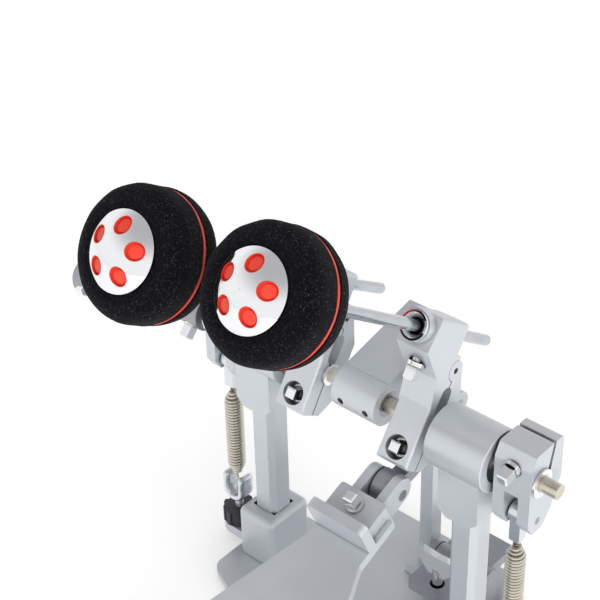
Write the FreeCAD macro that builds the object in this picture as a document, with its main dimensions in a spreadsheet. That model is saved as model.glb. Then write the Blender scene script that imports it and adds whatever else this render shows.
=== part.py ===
import FreeCAD, Part
import math
import os
import Sketcher

# Double bass drum pedal, main side: two beaters on two axles, one footboard.
# Frame: X runs along the axles to the player's right, Y points at the drum, Z is up.
# The origin lies on the floor under the axle line, midway between the two beaters.

Vector = FreeCAD.Vector
Rotation = FreeCAD.Rotation
Placement = FreeCAD.Placement
X_AXIS = Vector(1, 0, 0)
Y_AXIS = Vector(0, 1, 0)
Z_AXIS = Vector(0, 0, 1)
RIGHT = 1
LEFT = -1
SIDE_NAMES = {RIGHT: "right", LEFT: "left"}

doc = FreeCAD.newDocument("double_pedal")
sheet = doc.addObject("Spreadsheet::Sheet", "Sizes")
nodes = {}


class Size(float):
    """A number that also carries the sheet formula it comes from."""

    def __new__(cls, value, formula):
        made = super().__new__(cls, value)
        made.formula = formula
        return made

    def __add__(self, other):
        return Size(float(self) + float(other), f"({self.formula} + {formula_of(other)})")

    def __radd__(self, other):
        return Size(float(other) + float(self), f"({formula_of(other)} + {self.formula})")

    def __sub__(self, other):
        return Size(float(self) - float(other), f"({self.formula} - {formula_of(other)})")

    def __rsub__(self, other):
        return Size(float(other) - float(self), f"({formula_of(other)} - {self.formula})")

    def __mul__(self, other):
        return Size(float(self) * float(other), f"({self.formula} * {formula_of(other)})")

    def __rmul__(self, other):
        return Size(float(other) * float(self), f"({formula_of(other)} * {self.formula})")

    def __truediv__(self, other):
        return Size(float(self) / float(other), f"({self.formula} / {formula_of(other)})")

    def __neg__(self):
        return Size(-float(self), f"(0 - {self.formula})")


def formula_of(value):
    return value.formula if isinstance(value, Size) else repr(float(value))


def sine(angle):
    return Size(math.sin(math.radians(angle)), f"sin({formula_of(angle)} * 1 deg)")


def cosine(angle):
    return Size(math.cos(math.radians(angle)), f"cos({formula_of(angle)} * 1 deg)")


def slope_angle(rise, run):
    value = math.degrees(math.atan2(rise, run))
    return Size(value, f"(atan2({formula_of(rise)}; {formula_of(run)}) / 1 deg)")


def distance(across, along):
    value = math.hypot(across, along)
    return Size(value, f"sqrt({formula_of(across)} ^ 2 + {formula_of(along)} ^ 2)")


def size(name, value):
    """One driving dimension: a plain number in the sheet, under its own name."""
    size.row += 1
    cell = f"A{size.row}"
    sheet.set(cell, str(value))
    sheet.setAlias(cell, name)
    return Size(value, f"Sizes.{name}")


size.row = 0

# Axle line, beater lean and the fits that every piece shares.
axle_height = size("axle_height", 152)
axle_radius = size("axle_radius", 4)
right_lean = size("right_lean", 55)
left_lean = size("left_lean", 58)
clamp_gap = size("clamp_gap", 0.02)
running_gap = size("running_gap", 0.05)
pin_gap = size("pin_gap", 0.06)
side_gap = size("side_gap", 0.5)
seat_gap = size("seat_gap", 0.3)

# Hubs: a two-jaw clamp on each axle that carries the beater holder.
hub_x = size("hub_x", 34)
hub_width = size("hub_width", 19)
slit_offset = size("slit_offset", 1.5)
slit_gap = size("slit_gap", 0.8)
jaw_foot = size("jaw_foot", 23.5)
jaw_front = size("jaw_front", 11)
jaw_back = size("jaw_back", 13)
jaw_corner = size("jaw_corner", 5)
jaw_edge = size("jaw_edge", 1.5)
window_low = size("window_low", 9)
window_high = size("window_high", 17)
window_radius = size("window_radius", 4.2)
knuckle_reach = size("knuckle_reach", 30)
knuckle_radius = size("knuckle_radius", 5.5)
jaw_pin_radius = size("jaw_pin_radius", 1.6)
jaw_pin_sink = size("jaw_pin_sink", 2)
holder_foot = size("holder_foot", 24)
holder_brace = size("holder_brace", 16)
holder_top = size("holder_top", 54)
holder_back = size("holder_back", 6)
holder_front = size("holder_front", 32)
holder_brow = size("holder_brow", 36)
holder_corner = size("holder_corner", 2)
holder_bolt_ahead = size("holder_bolt_ahead", 24)
holder_bolt_foot = size("holder_bolt_foot", 29)
jaw_step = size("jaw_step", 9)
key_bolt_drop = size("key_bolt_drop", 15)
key_bolt_seat = size("key_bolt_seat", 4.5)
key_bolt_recess = size("key_bolt_recess", 6.3)

# Beaters: shaft, elastomer core, felt wheel and chrome cap.
shaft_radius = size("shaft_radius", 3)
shaft_offset = size("shaft_offset", 46)
shaft_tail = size("shaft_tail", 34)
right_reach = size("right_reach", 151.5)
left_reach = size("left_reach", 152)
barrel_radius = size("barrel_radius", 8)
barrel_front = size("barrel_front", 38)
bush_flange = size("bush_flange", 7.4)
bush_thick = size("bush_thick", 2.2)
bush_spigot = size("bush_spigot", 5.5)
bush_depth = size("bush_depth", 6)
bush_mouth = size("bush_mouth", 6.3)
felt_radius = size("felt_radius", 30.5)
felt_front = size("felt_front", 17.2)
felt_back = size("felt_back", 16.5)
front_round = size("front_round", 9)
back_round = size("back_round", 15)
ring_half = size("ring_half", 0.65)
ring_sink = size("ring_sink", 0.4)
core_radius = size("core_radius", 11)
core_back = size("core_back", 18.5)
shaft_in_core = size("shaft_in_core", 10)
cap_radius = size("cap_radius", 18.2)
cap_rim = size("cap_rim", 1.6)
cap_height = size("cap_height", 8.5)
cap_wall = size("cap_wall", 1.8)
dimple_circle = size("dimple_circle", 11.4)
dimple_radius = size("dimple_radius", 4.2)
dimple_depth = size("dimple_depth", 2.2)
DIMPLE_COUNT = 5

# Frame: floor plate, posts, sockets and bearing housings.
mat_thick = size("mat_thick", 3)
plate_thick = size("plate_thick", 4)
plate_half = size("plate_half", 84)
plate_front = size("plate_front", 30)
plate_back = size("plate_back", 34)
plate_taper = size("plate_taper", 34)
plate_corner = size("plate_corner", 9)
tongue_left = size("tongue_left", 43)
tongue_right = size("tongue_right", 62)
tongue_front = size("tongue_front", 69)
heel_half = size("heel_half", 40)
heel_end = size("heel_end", 314)
mat_inset = size("mat_inset", 2)
post_x = size("post_x", 68)
post_side = size("post_side", 16)
post_chamfer = size("post_chamfer", 3)
socket_width = size("socket_width", 26)
socket_depth = size("socket_depth", 32)
socket_height = size("socket_height", 33)
socket_round = size("socket_round", 4)
socket_floor = size("socket_floor", 5)
housing_radius = size("housing_radius", 16.5)
housing_inner = size("housing_inner", 49)
housing_outer = size("housing_outer", 83)
housing_edge = size("housing_edge", 0.8)
skirt_width = size("skirt_width", 24)
skirt_depth = size("skirt_depth", 25.4)
skirt_drop = size("skirt_drop", 39)
skirt_taper = size("skirt_taper", 5)
bearing_radius = size("bearing_radius", 11)
bearing_width = size("bearing_width", 7)
bearing_inset = size("bearing_inset", 1)
bearing_inner = size("bearing_inner", 6)
bearing_outer = size("bearing_outer", 9.2)
bearing_shield = size("bearing_shield", 0.6)
post_into_skirt = size("post_into_skirt", 20)

# Centre bearing block with its rear arm and post.
block_left = size("block_left", 13)
block_right = size("block_right", 14.5)
block_radius = size("block_radius", 12)
bush_radius = size("bush_radius", 7)
bush_length = size("bush_length", 24)
arm_back = size("arm_back", 51)
arm_rise = size("arm_rise", 13.2)
arm_under = size("arm_under", 9)
arm_post_gap = size("arm_post_gap", 0.1)
bar_width = size("bar_width", 8)
bar_depth = size("bar_depth", 9)
bar_inset = size("bar_inset", 5)
bar_y = size("bar_y", 45)
bar_foot = size("bar_foot", 14)
bar_foot_thick = size("bar_foot_thick", 7)
grub_radius = size("grub_radius", 1.9)
grub_length = size("grub_length", 3)
grub_x = size("grub_x", 7)
grub_pitch = size("grub_pitch", 16)
grub_dip = size("grub_dip", 9)

# Spring rockers on the axle ends, springs and their anchors.
rocker_inner = size("rocker_inner", 85)
rocker_width = size("rocker_width", 21)
rocker_front = size("rocker_front", 8)
rocker_back = size("rocker_back", 18)
rocker_top = size("rocker_top", 17.5)
rocker_drop = size("rocker_drop", 30.5)
rocker_corner = size("rocker_corner", 4)
rocker_slit = size("rocker_slit", 2)
rocker_slit_y = size("rocker_slit_y", 6.5)
rocker_bolt_z = size("rocker_bolt_z", 8.5)
rocker_bolt_dip = size("rocker_bolt_dip", 14)
rocker_bolt_length = size("rocker_bolt_length", 20)
rocker_slot = size("rocker_slot", 8)
rocker_slot_top = size("rocker_slot_top", 8)
spring_pin_drop = size("spring_pin_drop", 24)
spring_pin_radius = size("spring_pin_radius", 2)
washer_radius = size("washer_radius", 7.5)
washer_thick = size("washer_thick", 1.6)
axle_end = size("axle_end", 117)
axle_hex = size("axle_hex", 4.7)
left_ring_radius = size("left_ring_radius", 6)
spring_radius = size("spring_radius", 4.4)
wire_radius = size("wire_radius", 0.85)
spring_low = size("spring_low", 49)
spring_head_drop = size("spring_head_drop", 47)
spring_tail = size("spring_tail", 8)
SPRING_TURNS = 17
hook_eye = size("hook_eye", 5.2)
hook_waist = size("hook_waist", 3)
hook_thick = size("hook_thick", 6)
hook_hole = size("hook_hole", 1.4)
clevis_half = size("clevis_half", 8)
clevis_depth = size("clevis_depth", 11)
clevis_low = size("clevis_low", 28)
clevis_high = size("clevis_high", 47)
clevis_floor = size("clevis_floor", 5)
clevis_slot = size("clevis_slot", 7.5)
stem_radius = size("stem_radius", 2.6)
knob_radius = size("knob_radius", 9.5)
knob_high = size("knob_high", 22.5)
knob_flute = size("knob_flute", 1.6)
KNOB_FLUTES = 10
ear_thick = size("ear_thick", 6)
ear_radius = size("ear_radius", 9)
spigot_radius = size("spigot_radius", 4.5)
collar_radius = size("collar_radius", 7)
collar_thick = size("collar_thick", 2)

# Footboard, drive link and heel.
heel_hinge_y = size("heel_hinge_y", 262)
heel_hinge_z = size("heel_hinge_z", 26)
fork_pin_y = size("fork_pin_y", 24.5)
fork_pin_drop = size("fork_pin_drop", 27)
link_pin_y = size("link_pin_y", 20.5)
link_pin_rise = size("link_pin_rise", 2.5)
link_width = size("link_width", 8)
link_bar = size("link_bar", 8)
link_eye_low = size("link_eye_low", 9)
link_eye_high = size("link_eye_high", 6)
link_bend = size("link_bend", 10)
link_pin_radius = size("link_pin_radius", 2.5)
fork_pin_radius = size("fork_pin_radius", 3)
open_pivot_gap = size("open_pivot_gap", 1.4)
link_slot_gap = size("link_slot_gap", 0.8)
link_groove = size("link_groove", 9)
link_heel = size("link_heel", 2)
board_thick = size("board_thick", 5)
board_top = size("board_top", 5)
board_half = size("board_half", 38)
board_neck = size("board_neck", 17)
board_neck_length = size("board_neck_length", 56)
board_neck_gap = size("board_neck_gap", 8)
board_slot_half = size("board_slot_half", 2.5)
board_slot_reach = size("board_slot_reach", 24)
board_slot_first = size("board_slot_first", 40)
board_slot_pitch = size("board_slot_pitch", 24)
BOARD_SLOTS = 5
nose_setback = size("nose_setback", 16)
nose_length = size("nose_length", 19)
nose_top = size("nose_top", 14)
nose_rim = size("nose_rim", 23)
nose_rim_thick = size("nose_rim_thick", 5.5)
nose_half = size("nose_half", 14)
nose_round = size("nose_round", 3)
fork_half = size("fork_half", 9.8)
fork_inner = size("fork_inner", 5)
fork_tip = size("fork_tip", 7.5)
fork_lift = size("fork_lift", 3)
nose_bolt_back = size("nose_bolt_back", 4.8)
hinge_radius = size("hinge_radius", 6)
hinge_pin_radius = size("hinge_pin_radius", 2.5)
hinge_inner = size("hinge_inner", 14)
heel_top = size("heel_top", 29)
heel_front = size("heel_front", 274)
heel_chamfer = size("heel_chamfer", 10)

# Universal joint on the left axle.
yoke_inner = size("yoke_inner", 110)
yoke_radius = size("yoke_radius", 9)
yoke_length = size("yoke_length", 15)
yoke_arm = size("yoke_arm", 20)
yoke_arm_thick = size("yoke_arm_thick", 4)
yoke_arm_width = size("yoke_arm_width", 9)
yoke_gap = size("yoke_gap", 12.6)
cross_x = size("cross_x", 140)
cross_side = size("cross_side", 12)
cross_pin_radius = size("cross_pin_radius", 2.5)
socket_start = size("socket_start", 15)
socket_end = size("socket_end", 74)
yoke_bolt_dip = size("yoke_bolt_dip", 48)
yoke_droop = size("yoke_droop", 16)
link_bore = size("link_bore", 5)
link_bore_depth = size("link_bore_depth", 28)

# Hoop clamp on the front tongue.
clamp_x = size("clamp_x", 37)
clamp_half = size("clamp_half", 15)
clamp_pivot_y = size("clamp_pivot_y", 38)
clamp_pivot_z = size("clamp_pivot_z", 28)
clamp_cheek = size("clamp_cheek", 4)
clamp_cheek_radius = size("clamp_cheek_radius", 7)
clamp_pin_radius = size("clamp_pin_radius", 2.5)
jaw_lip = size("jaw_lip", 66)
jaw_tail = size("jaw_tail", 8)
jaw_plate = size("jaw_plate", 6)
jaw_lip_drop = size("jaw_lip_drop", 4)
jaw_lip_thick = size("jaw_lip_thick", 5)
thumb_y = size("thumb_y", 16)
thumb_radius = size("thumb_radius", 3)
thumb_wing = size("thumb_wing", 13)
thumb_wing_thick = size("thumb_wing_thick", 4)
thumb_wing_high = size("thumb_wing_high", 11)
thumb_neck = size("thumb_neck", 10)
thumb_hole_gap = size("thumb_hole_gap", 1.1)

# Key bolts: a square drum-key head on a collar and a threaded shank.
key_head = size("key_head", 5.6)
key_head_high = size("key_head_high", 7.5)
key_collar = size("key_collar", 4.6)
key_collar_thick = size("key_collar_thick", 2)
key_shank = size("key_shank", 2.5)
key_chamfer = size("key_chamfer", 0.7)

# Floor bolts on the heel and the centre post's foot.
bolt_head = size("bolt_head", 4.2)
bolt_head_high = size("bolt_head_high", 2.4)
bolt_shank = size("bolt_shank", 2.5)
heel_bolt_x = size("heel_bolt_x", 26)
heel_bolt_y = size("heel_bolt_y", 294)

LEANS = {RIGHT: right_lean, LEFT: left_lean}
REACHES = {RIGHT: right_reach, LEFT: left_reach}
spring_high = axle_height - spring_head_drop

doc.recompute()


def bind(thing, path, value):
    if isinstance(value, Size):
        thing.setExpression(path, value.formula)


def place(thing, x=0, y=0, z=0, axis=X_AXIS, angle=0):
    """Put a piece at a point, turned by an angle about an axis."""
    thing.Placement = Placement(Vector(x, y, z), Rotation(axis, angle))
    for path, value in (("Base.x", x), ("Base.y", y), ("Base.z", z), ("Rotation.Angle", angle)):
        bind(thing, "Placement." + path, value)
    return thing


def keep(thing, label):
    """Make a finished piece a node of the pedal."""
    thing.Label = label
    nodes[label] = thing
    return thing


def new_body():
    return doc.addObject("PartDesign::Body", "piece")


def new_sketch(body, plane, lift=0):
    sketch = body.newObject("Sketcher::SketchObject", "outline")
    face = next(item for item in body.Origin.OriginFeatures if item.Role == plane)
    sketch.AttachmentSupport = [(face, "")]
    sketch.MapMode = "FlatFace"
    sketch.AttachmentOffset = Placement(Vector(0, 0, lift), Rotation())
    bind(sketch, "AttachmentOffset.Base.z", lift)
    return sketch


def fix_point(sketch, geometry, point, corner):
    for kind, value in zip(("DistanceX", "DistanceY"), corner):
        rule = Sketcher.Constraint(kind, -1, 1, geometry, point, float(value))
        bind(sketch, f"Constraints[{sketch.addConstraint(rule)}]", value)


def fix_radius(sketch, geometry, radius):
    rule = Sketcher.Constraint("Radius", geometry, float(radius))
    bind(sketch, f"Constraints[{sketch.addConstraint(rule)}]", radius)


def polygon(sketch, corners):
    first = sketch.GeometryCount
    count = len(corners)
    for index, corner in enumerate(corners):
        following = corners[(index + 1) % count]
        sketch.addGeometry(Part.LineSegment(Vector(*corner, 0), Vector(*following, 0)), False)
    for index in range(count):
        joint = Sketcher.Constraint("Coincident", first + index, 2, first + (index + 1) % count, 1)
        sketch.addConstraint(joint)
    for index, corner in enumerate(corners):
        fix_point(sketch, first + index, 1, corner)
    return sketch


def circle(sketch, centre, radius):
    number = sketch.addGeometry(Part.Circle(Vector(*centre, 0), Z_AXIS, float(radius)), False)
    fix_point(sketch, number, 3, centre)
    fix_radius(sketch, number, radius)
    return sketch


def slot(sketch, start, end, level, radius):
    """A round-ended slot along the sketch's first axis."""
    quarter = math.pi / 2
    first = sketch.GeometryCount
    low = Part.Circle(Vector(start, level, 0), Z_AXIS, float(radius))
    high = Part.Circle(Vector(end, level, 0), Z_AXIS, float(radius))
    below = level - radius
    above = level + radius
    sketch.addGeometry(Part.ArcOfCircle(low, quarter, 3 * quarter), False)
    sketch.addGeometry(Part.LineSegment(Vector(start, below, 0), Vector(end, below, 0)), False)
    sketch.addGeometry(Part.ArcOfCircle(high, -quarter, quarter), False)
    sketch.addGeometry(Part.LineSegment(Vector(end, above, 0), Vector(start, above, 0)), False)
    for index in range(4):
        following = first + (index + 1) % 4
        sketch.addConstraint(Sketcher.Constraint("Tangent", first + index, 2, following, 1))
    fix_point(sketch, first, 3, (start, level))
    fix_point(sketch, first + 2, 3, (end, level))
    fix_radius(sketch, first, radius)
    fix_radius(sketch, first + 2, radius)
    return sketch


def extrude(body, sketch, length, centred=False, reverse=False, cut=False):
    feature = body.newObject("PartDesign::Pocket" if cut else "PartDesign::Pad", "cut" if cut else "pad")
    feature.Profile = sketch
    feature.Length = float(length)
    bind(feature, "Length", length)
    feature.SideType = "Symmetric" if centred else "One side"
    feature.Reversed = reverse
    return feature


def cut_through(body, sketch):
    feature = body.newObject("PartDesign::Pocket", "through")
    feature.Profile = sketch
    feature.SideType = "Symmetric"
    feature.Type = "ThroughAll"
    return feature


def drill(body, plane, centre, radius):
    """A round hole right through the body, square to one of its planes."""
    return cut_through(body, circle(new_sketch(body, plane), centre, radius))


def revolve(body, sketch):
    feature = body.newObject("PartDesign::Revolution", "turned")
    feature.Profile = sketch
    feature.ReferenceAxis = (sketch, ["V_Axis"])
    return feature


def dress(body, amount, chosen, kind="Fillet"):
    """Round or bevel the edges of the body's last feature that the chosen test picks."""
    doc.recompute()
    base = body.Tip
    edges = [f"Edge{number}" for number, edge in enumerate(base.Shape.Edges, 1) if chosen(edge)]
    if not edges:
        raise ValueError(f"no edge to dress on {body.Name}")
    feature = body.newObject(f"PartDesign::{kind}", kind.lower())
    feature.Base = (base, edges)
    path = "Radius" if kind == "Fillet" else "Size"
    setattr(feature, path, float(amount))
    bind(feature, path, amount)
    return feature


def middle(edge):
    return edge.valueAt((edge.FirstParameter + edge.LastParameter) / 2)


def runs_along(axis):
    def chosen(edge):
        if edge.Curve.TypeId != "Part::GeomLine":
            return False
        return abs(abs(edge.Curve.Direction.dot(axis)) - 1) < 1e-6
    return chosen


def near(value, target):
    return abs(value - target) < 1e-3


def turned(profile, **where):
    """A piece turned about its own Z axis from a half outline of (radius, height) corners."""
    body = new_body()
    revolve(body, polygon(new_sketch(body, "XZ_Plane"), profile))
    place(body, **where)
    return body


def rod(radius, start, end):
    return [(0, start), (radius, start), (radius, end), (0, end)]


def ring(inner, outer, start, end):
    return [(inner, start), (outer, start), (outer, end), (inner, end)]


def cylinder(radius, length, **where):
    made = doc.addObject("Part::Cylinder", "round_bar")
    made.Radius = float(radius)
    made.Height = float(length)
    bind(made, "Radius", radius)
    bind(made, "Height", length)
    return place(made, **where)


def along_x(radius, start, end, y, z):
    """A round bar along X between two stations."""
    return cylinder(radius, end - start, x=start, y=y, z=z, axis=Y_AXIS, angle=90)


def sphere(radius, height):
    """A ball on the Z axis."""
    made = doc.addObject("Part::Sphere", "ball")
    made.Radius = float(radius)
    bind(made, "Radius", radius)
    return place(made, z=height)


def box(low, high):
    made = doc.addObject("Part::Box", "block")
    for name, first, last in zip(("Length", "Width", "Height"), low, high):
        setattr(made, name, float(last - first))
        bind(made, name, last - first)
    return place(made, x=low[0], y=low[1], z=low[2])


def join(*pieces):
    made = doc.addObject("Part::MultiFuse", "joined")
    made.Shapes = list(pieces)
    return made


def overlap(first, second):
    made = doc.addObject("Part::Common", "shared")
    made.Base = first
    made.Tool = second
    return made


def remove(base, *tools):
    made = doc.addObject("Part::Cut", "cut")
    made.Base = base
    made.Tool = tools[0] if len(tools) == 1 else join(*tools)
    return made


def group(label, pieces):
    made = doc.addObject("Part::Compound", label)
    made.Links = list(pieces)
    return keep(made, label)


def hub_point(side, reach, ahead):
    """World Y and Z of a point given along and across the leaning hub."""
    lean = LEANS[side]
    y = reach * cosine(lean) - ahead * sine(lean)
    z = axle_height + reach * sine(lean) + ahead * cosine(lean)
    return y, z


def key_bolt(length, **where):
    """A key bolt whose collar sits at its own origin, head up and shank down its Z axis."""
    body = new_body()
    profile = [(0, -length), (key_shank, -length), (key_shank, 0), (key_collar, 0)]
    profile += [(key_collar, key_collar_thick), (0, key_collar_thick)]
    revolve(body, polygon(new_sketch(body, "XZ_Plane"), profile))
    half = key_head / 2
    square = [(-half, -half), (half, -half), (half, half), (-half, half)]
    extrude(body, polygon(new_sketch(body, "XY_Plane"), square), key_collar_thick + key_head_high)
    top = key_collar_thick + key_head_high
    dress(body, key_chamfer, lambda edge: near(middle(edge).z, top), "Chamfer")
    return place(body, **where)


# Floor plate and its rubber mat.
def floor_outline(inset):
    """Corners of the plate, or of the mat a little inside it."""
    back = -plate_back + inset
    taper = -plate_back - plate_taper + inset
    heel_low = hub_x - heel_half + inset
    heel_high = hub_x + heel_half - inset
    side = plate_half - inset
    rear = -heel_end + inset
    front = plate_front - inset
    tip = tongue_front - inset
    left = -tongue_left + inset
    right = tongue_right - inset
    return [
        (-side, back), (heel_low, taper), (heel_low, rear), (heel_high, rear), (heel_high, taper),
        (side, back), (side, front), (right, front), (right, tip), (left, tip), (left, front), (-side, front),
    ]


def floor_sheet(label, inset, bottom, thick):
    body = new_body()
    extrude(body, polygon(new_sketch(body, "XY_Plane"), floor_outline(inset)), thick)
    dress(body, plate_corner - inset, runs_along(Z_AXIS))
    place(body, z=bottom)
    return keep(body, label)


floor_top = mat_thick + plate_thick
floor_sheet("rubber_mat", mat_inset, 0, mat_thick)
floor_sheet("base_plate", 0, mat_thick, plate_thick)

# Post sockets, each with an ear for its spring anchor, posts and bearing housings.
spring_x = rocker_inner + rocker_width / 2
post_low = floor_top + socket_floor
ear_top = floor_top + ear_thick


def post_socket(side):
    body = new_body()
    half_x = socket_width / 2
    half_y = socket_depth / 2
    frame = [(-half_x, -half_y), (half_x, -half_y), (half_x, half_y), (-half_x, half_y)]
    extrude(body, polygon(new_sketch(body, "XY_Plane"), frame), socket_height)
    dress(body, socket_round, runs_along(Z_AXIS))
    dress(body, socket_round, lambda edge: near(middle(edge).z, socket_height))
    reach = side * (spring_x - post_x)
    edge_x = side * (half_x - socket_round)
    tongue = [(edge_x, -ear_radius), (reach, -ear_radius), (reach, ear_radius), (edge_x, ear_radius)]
    extrude(body, polygon(new_sketch(body, "XY_Plane"), tongue), ear_thick)
    extrude(body, circle(new_sketch(body, "XY_Plane"), (reach, 0), ear_radius), ear_thick)
    hole = circle(new_sketch(body, "XY_Plane"), (reach, 0), spigot_radius + running_gap)
    cut_through(body, hole)
    recess = circle(new_sketch(body, "XY_Plane"), (reach, 0), collar_radius + side_gap)
    extrude(body, recess, collar_thick + seat_gap, reverse=True, cut=True)
    inner = post_side / 2 + clamp_gap
    seat = [(-inner, -inner), (inner, -inner), (inner, inner), (-inner, inner)]
    pit = polygon(new_sketch(body, "XY_Plane", socket_floor), seat)
    extrude(body, pit, socket_height, reverse=True, cut=True)
    place(body, x=side * post_x, z=floor_top)
    return keep(body, f"{SIDE_NAMES[side]}_post_socket")


def post(side):
    body = new_body()
    half = post_side / 2
    square = [(-half, -half), (half, -half), (half, half), (-half, half)]
    extrude(body, polygon(new_sketch(body, "XY_Plane"), square), axle_height - post_into_skirt - post_low)
    dress(body, post_chamfer, runs_along(Z_AXIS), "Chamfer")
    place(body, x=side * post_x, z=post_low)
    return keep(body, f"{SIDE_NAMES[side]}_post")


def bearing_housing(side):
    """A barrel across the axle with a skirt that drops over the post."""
    body = new_body()
    first = housing_inner - post_x
    last = housing_outer - post_x
    length = last - first
    barrel = circle(new_sketch(body, "YZ_Plane", first), (0, 0), housing_radius)
    extrude(body, barrel, length)
    dress(body, housing_edge, lambda edge: near(middle(edge).x, first) or near(middle(edge).x, last))
    half = skirt_width / 2
    low = -skirt_drop
    shoulder = -skirt_drop + skirt_taper
    skirt = [(-half, 0), (-half, shoulder), (skirt_taper - half, low)]
    skirt += [(half - skirt_taper, low), (half, shoulder), (half, 0)]
    extrude(body, polygon(new_sketch(body, "XZ_Plane"), skirt), skirt_depth, centred=True)
    inner = post_side / 2 + clamp_gap
    seat = [(-inner, -inner), (inner, -inner), (inner, inner), (-inner, inner)]
    pit = polygon(new_sketch(body, "XY_Plane", -post_into_skirt), seat)
    extrude(body, pit, skirt_drop, cut=True)
    drill(body, "YZ_Plane", (0, 0), bearing_radius + clamp_gap)
    if side == RIGHT:
        place(body, x=post_x, z=axle_height)
    else:
        place(body, x=-post_x, z=axle_height, axis=Z_AXIS, angle=180)
    return keep(body, f"{SIDE_NAMES[side]}_bearing_housing")


def ball_bearing(start):
    """A shielded ball bearing on the axle line, its races standing proud of the shields."""
    end = bearing_width
    bore = axle_radius + running_gap
    low = bearing_shield
    high = bearing_width - bearing_shield
    profile = [
        (bore, 0), (bearing_inner, 0), (bearing_inner, low), (bearing_outer, low),
        (bearing_outer, 0), (bearing_radius, 0), (bearing_radius, end),
        (bearing_outer, end), (bearing_outer, high), (bearing_inner, high), (bearing_inner, end), (bore, end),
    ]
    return turned(profile, x=start, z=axle_height, axis=Y_AXIS, angle=90)


for hand in (RIGHT, LEFT):
    post_socket(hand)
    post(hand)
    bearing_housing(hand)

bearing_starts = []
for hand in (RIGHT, LEFT):
    near_end = housing_inner + bearing_inset
    far_end = housing_outer - bearing_inset - bearing_width
    for station in (near_end, far_end):
        bearing_starts.append(station if hand == RIGHT else -station - bearing_width)
centre_bush = turned(
    ring(axle_radius + running_gap, bush_radius, block_right - bush_length, block_right),
    z=axle_height, axis=Y_AXIS, angle=90)
group("axle_bearings", [ball_bearing(start) for start in bearing_starts] + [centre_bush])

# Centre bearing block: a barrel on a rising rear arm, clamped to a flat post.
bar_x = block_right - bar_inset
arm_top = block_radius / cosine(arm_rise)


def rear_arm():
    body = new_body()
    rise = arm_rise
    run = arm_back
    climb = run * sine(rise) / cosine(rise)
    side = [
        (0, -arm_under), (0, arm_top), (run, arm_top + climb), (run, climb - arm_under),
        (bar_y - bar_depth, -arm_under),
    ]
    extrude(body, polygon(new_sketch(body, "YZ_Plane", -block_left), side), block_left + block_right)
    return place(body, z=axle_height)


def grub_screw(station, start, length, radius):
    y = -(start * cosine(grub_dip))
    z = axle_height - start * sine(grub_dip)
    return cylinder(radius, length, x=station, y=y, z=z, axis=X_AXIS, angle=90 + grub_dip)


def centre_block():
    barrel = along_x(block_radius, -block_left, block_right, 0, axle_height)
    body = join(barrel, rear_arm())
    bore = along_x(bush_radius + clamp_gap, block_right - bush_length, block_right + side_gap, 0, axle_height)
    relief = along_x(axle_radius + side_gap, -block_left + bush_thick, block_right, 0, axle_height)
    half = bar_width / 2 + arm_post_gap
    depth = bar_depth / 2 + arm_post_gap
    socket = box(
        (bar_x - half, bar_y - depth, axle_height - arm_under - arm_back),
        (bar_x + half, bar_y + depth, axle_height + arm_back))
    room = grub_radius + clamp_gap
    holes = [grub_screw(station, bush_radius, block_radius, room) for station in grub_stations]
    return keep(remove(body, bore, relief, socket, *holes), "centre_bearing_block")


grub_stations = (-grub_x, grub_pitch - grub_x)
centre_block()
grub_seat = bush_radius + clamp_gap
grub_screws = [grub_screw(station, grub_seat, grub_length, grub_radius) for station in grub_stations]
group("set_screws", grub_screws)


def centre_post():
    half = bar_width / 2
    depth = bar_depth / 2
    top = axle_height + arm_top + arm_under
    bar = box((bar_x - half, bar_y - depth, floor_top), (bar_x + half, bar_y + depth, top))
    wide = bar_foot / 2
    foot = box(
        (bar_x - wide, bar_y - depth - bar_depth, floor_top),
        (bar_x + wide, bar_y + depth, floor_top + bar_foot_thick))
    return keep(join(bar, foot), "centre_post")


centre_post()

# Hubs: front jaw with the beater holder, back jaw hinged behind it on a cross pin.
slit_front = slit_offset + slit_gap / 2
slit_back = slit_offset - slit_gap / 2
tongue_width = hub_width * 0.4
knuckle = (knuckle_reach, slit_offset)
link_pin_up = link_pin_y * cosine(right_lean) + link_pin_rise * sine(right_lean)
link_pin_ahead = link_pin_rise * cosine(right_lean) - link_pin_y * sine(right_lean)
link_pin = (link_pin_up, link_pin_ahead)


def in_hub(body, side):
    """Lean a piece with its hub: local Y runs up the hub and local Z along the beater shaft."""
    return place(body, x=side * hub_x, z=axle_height, angle=LEANS[side])


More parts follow.
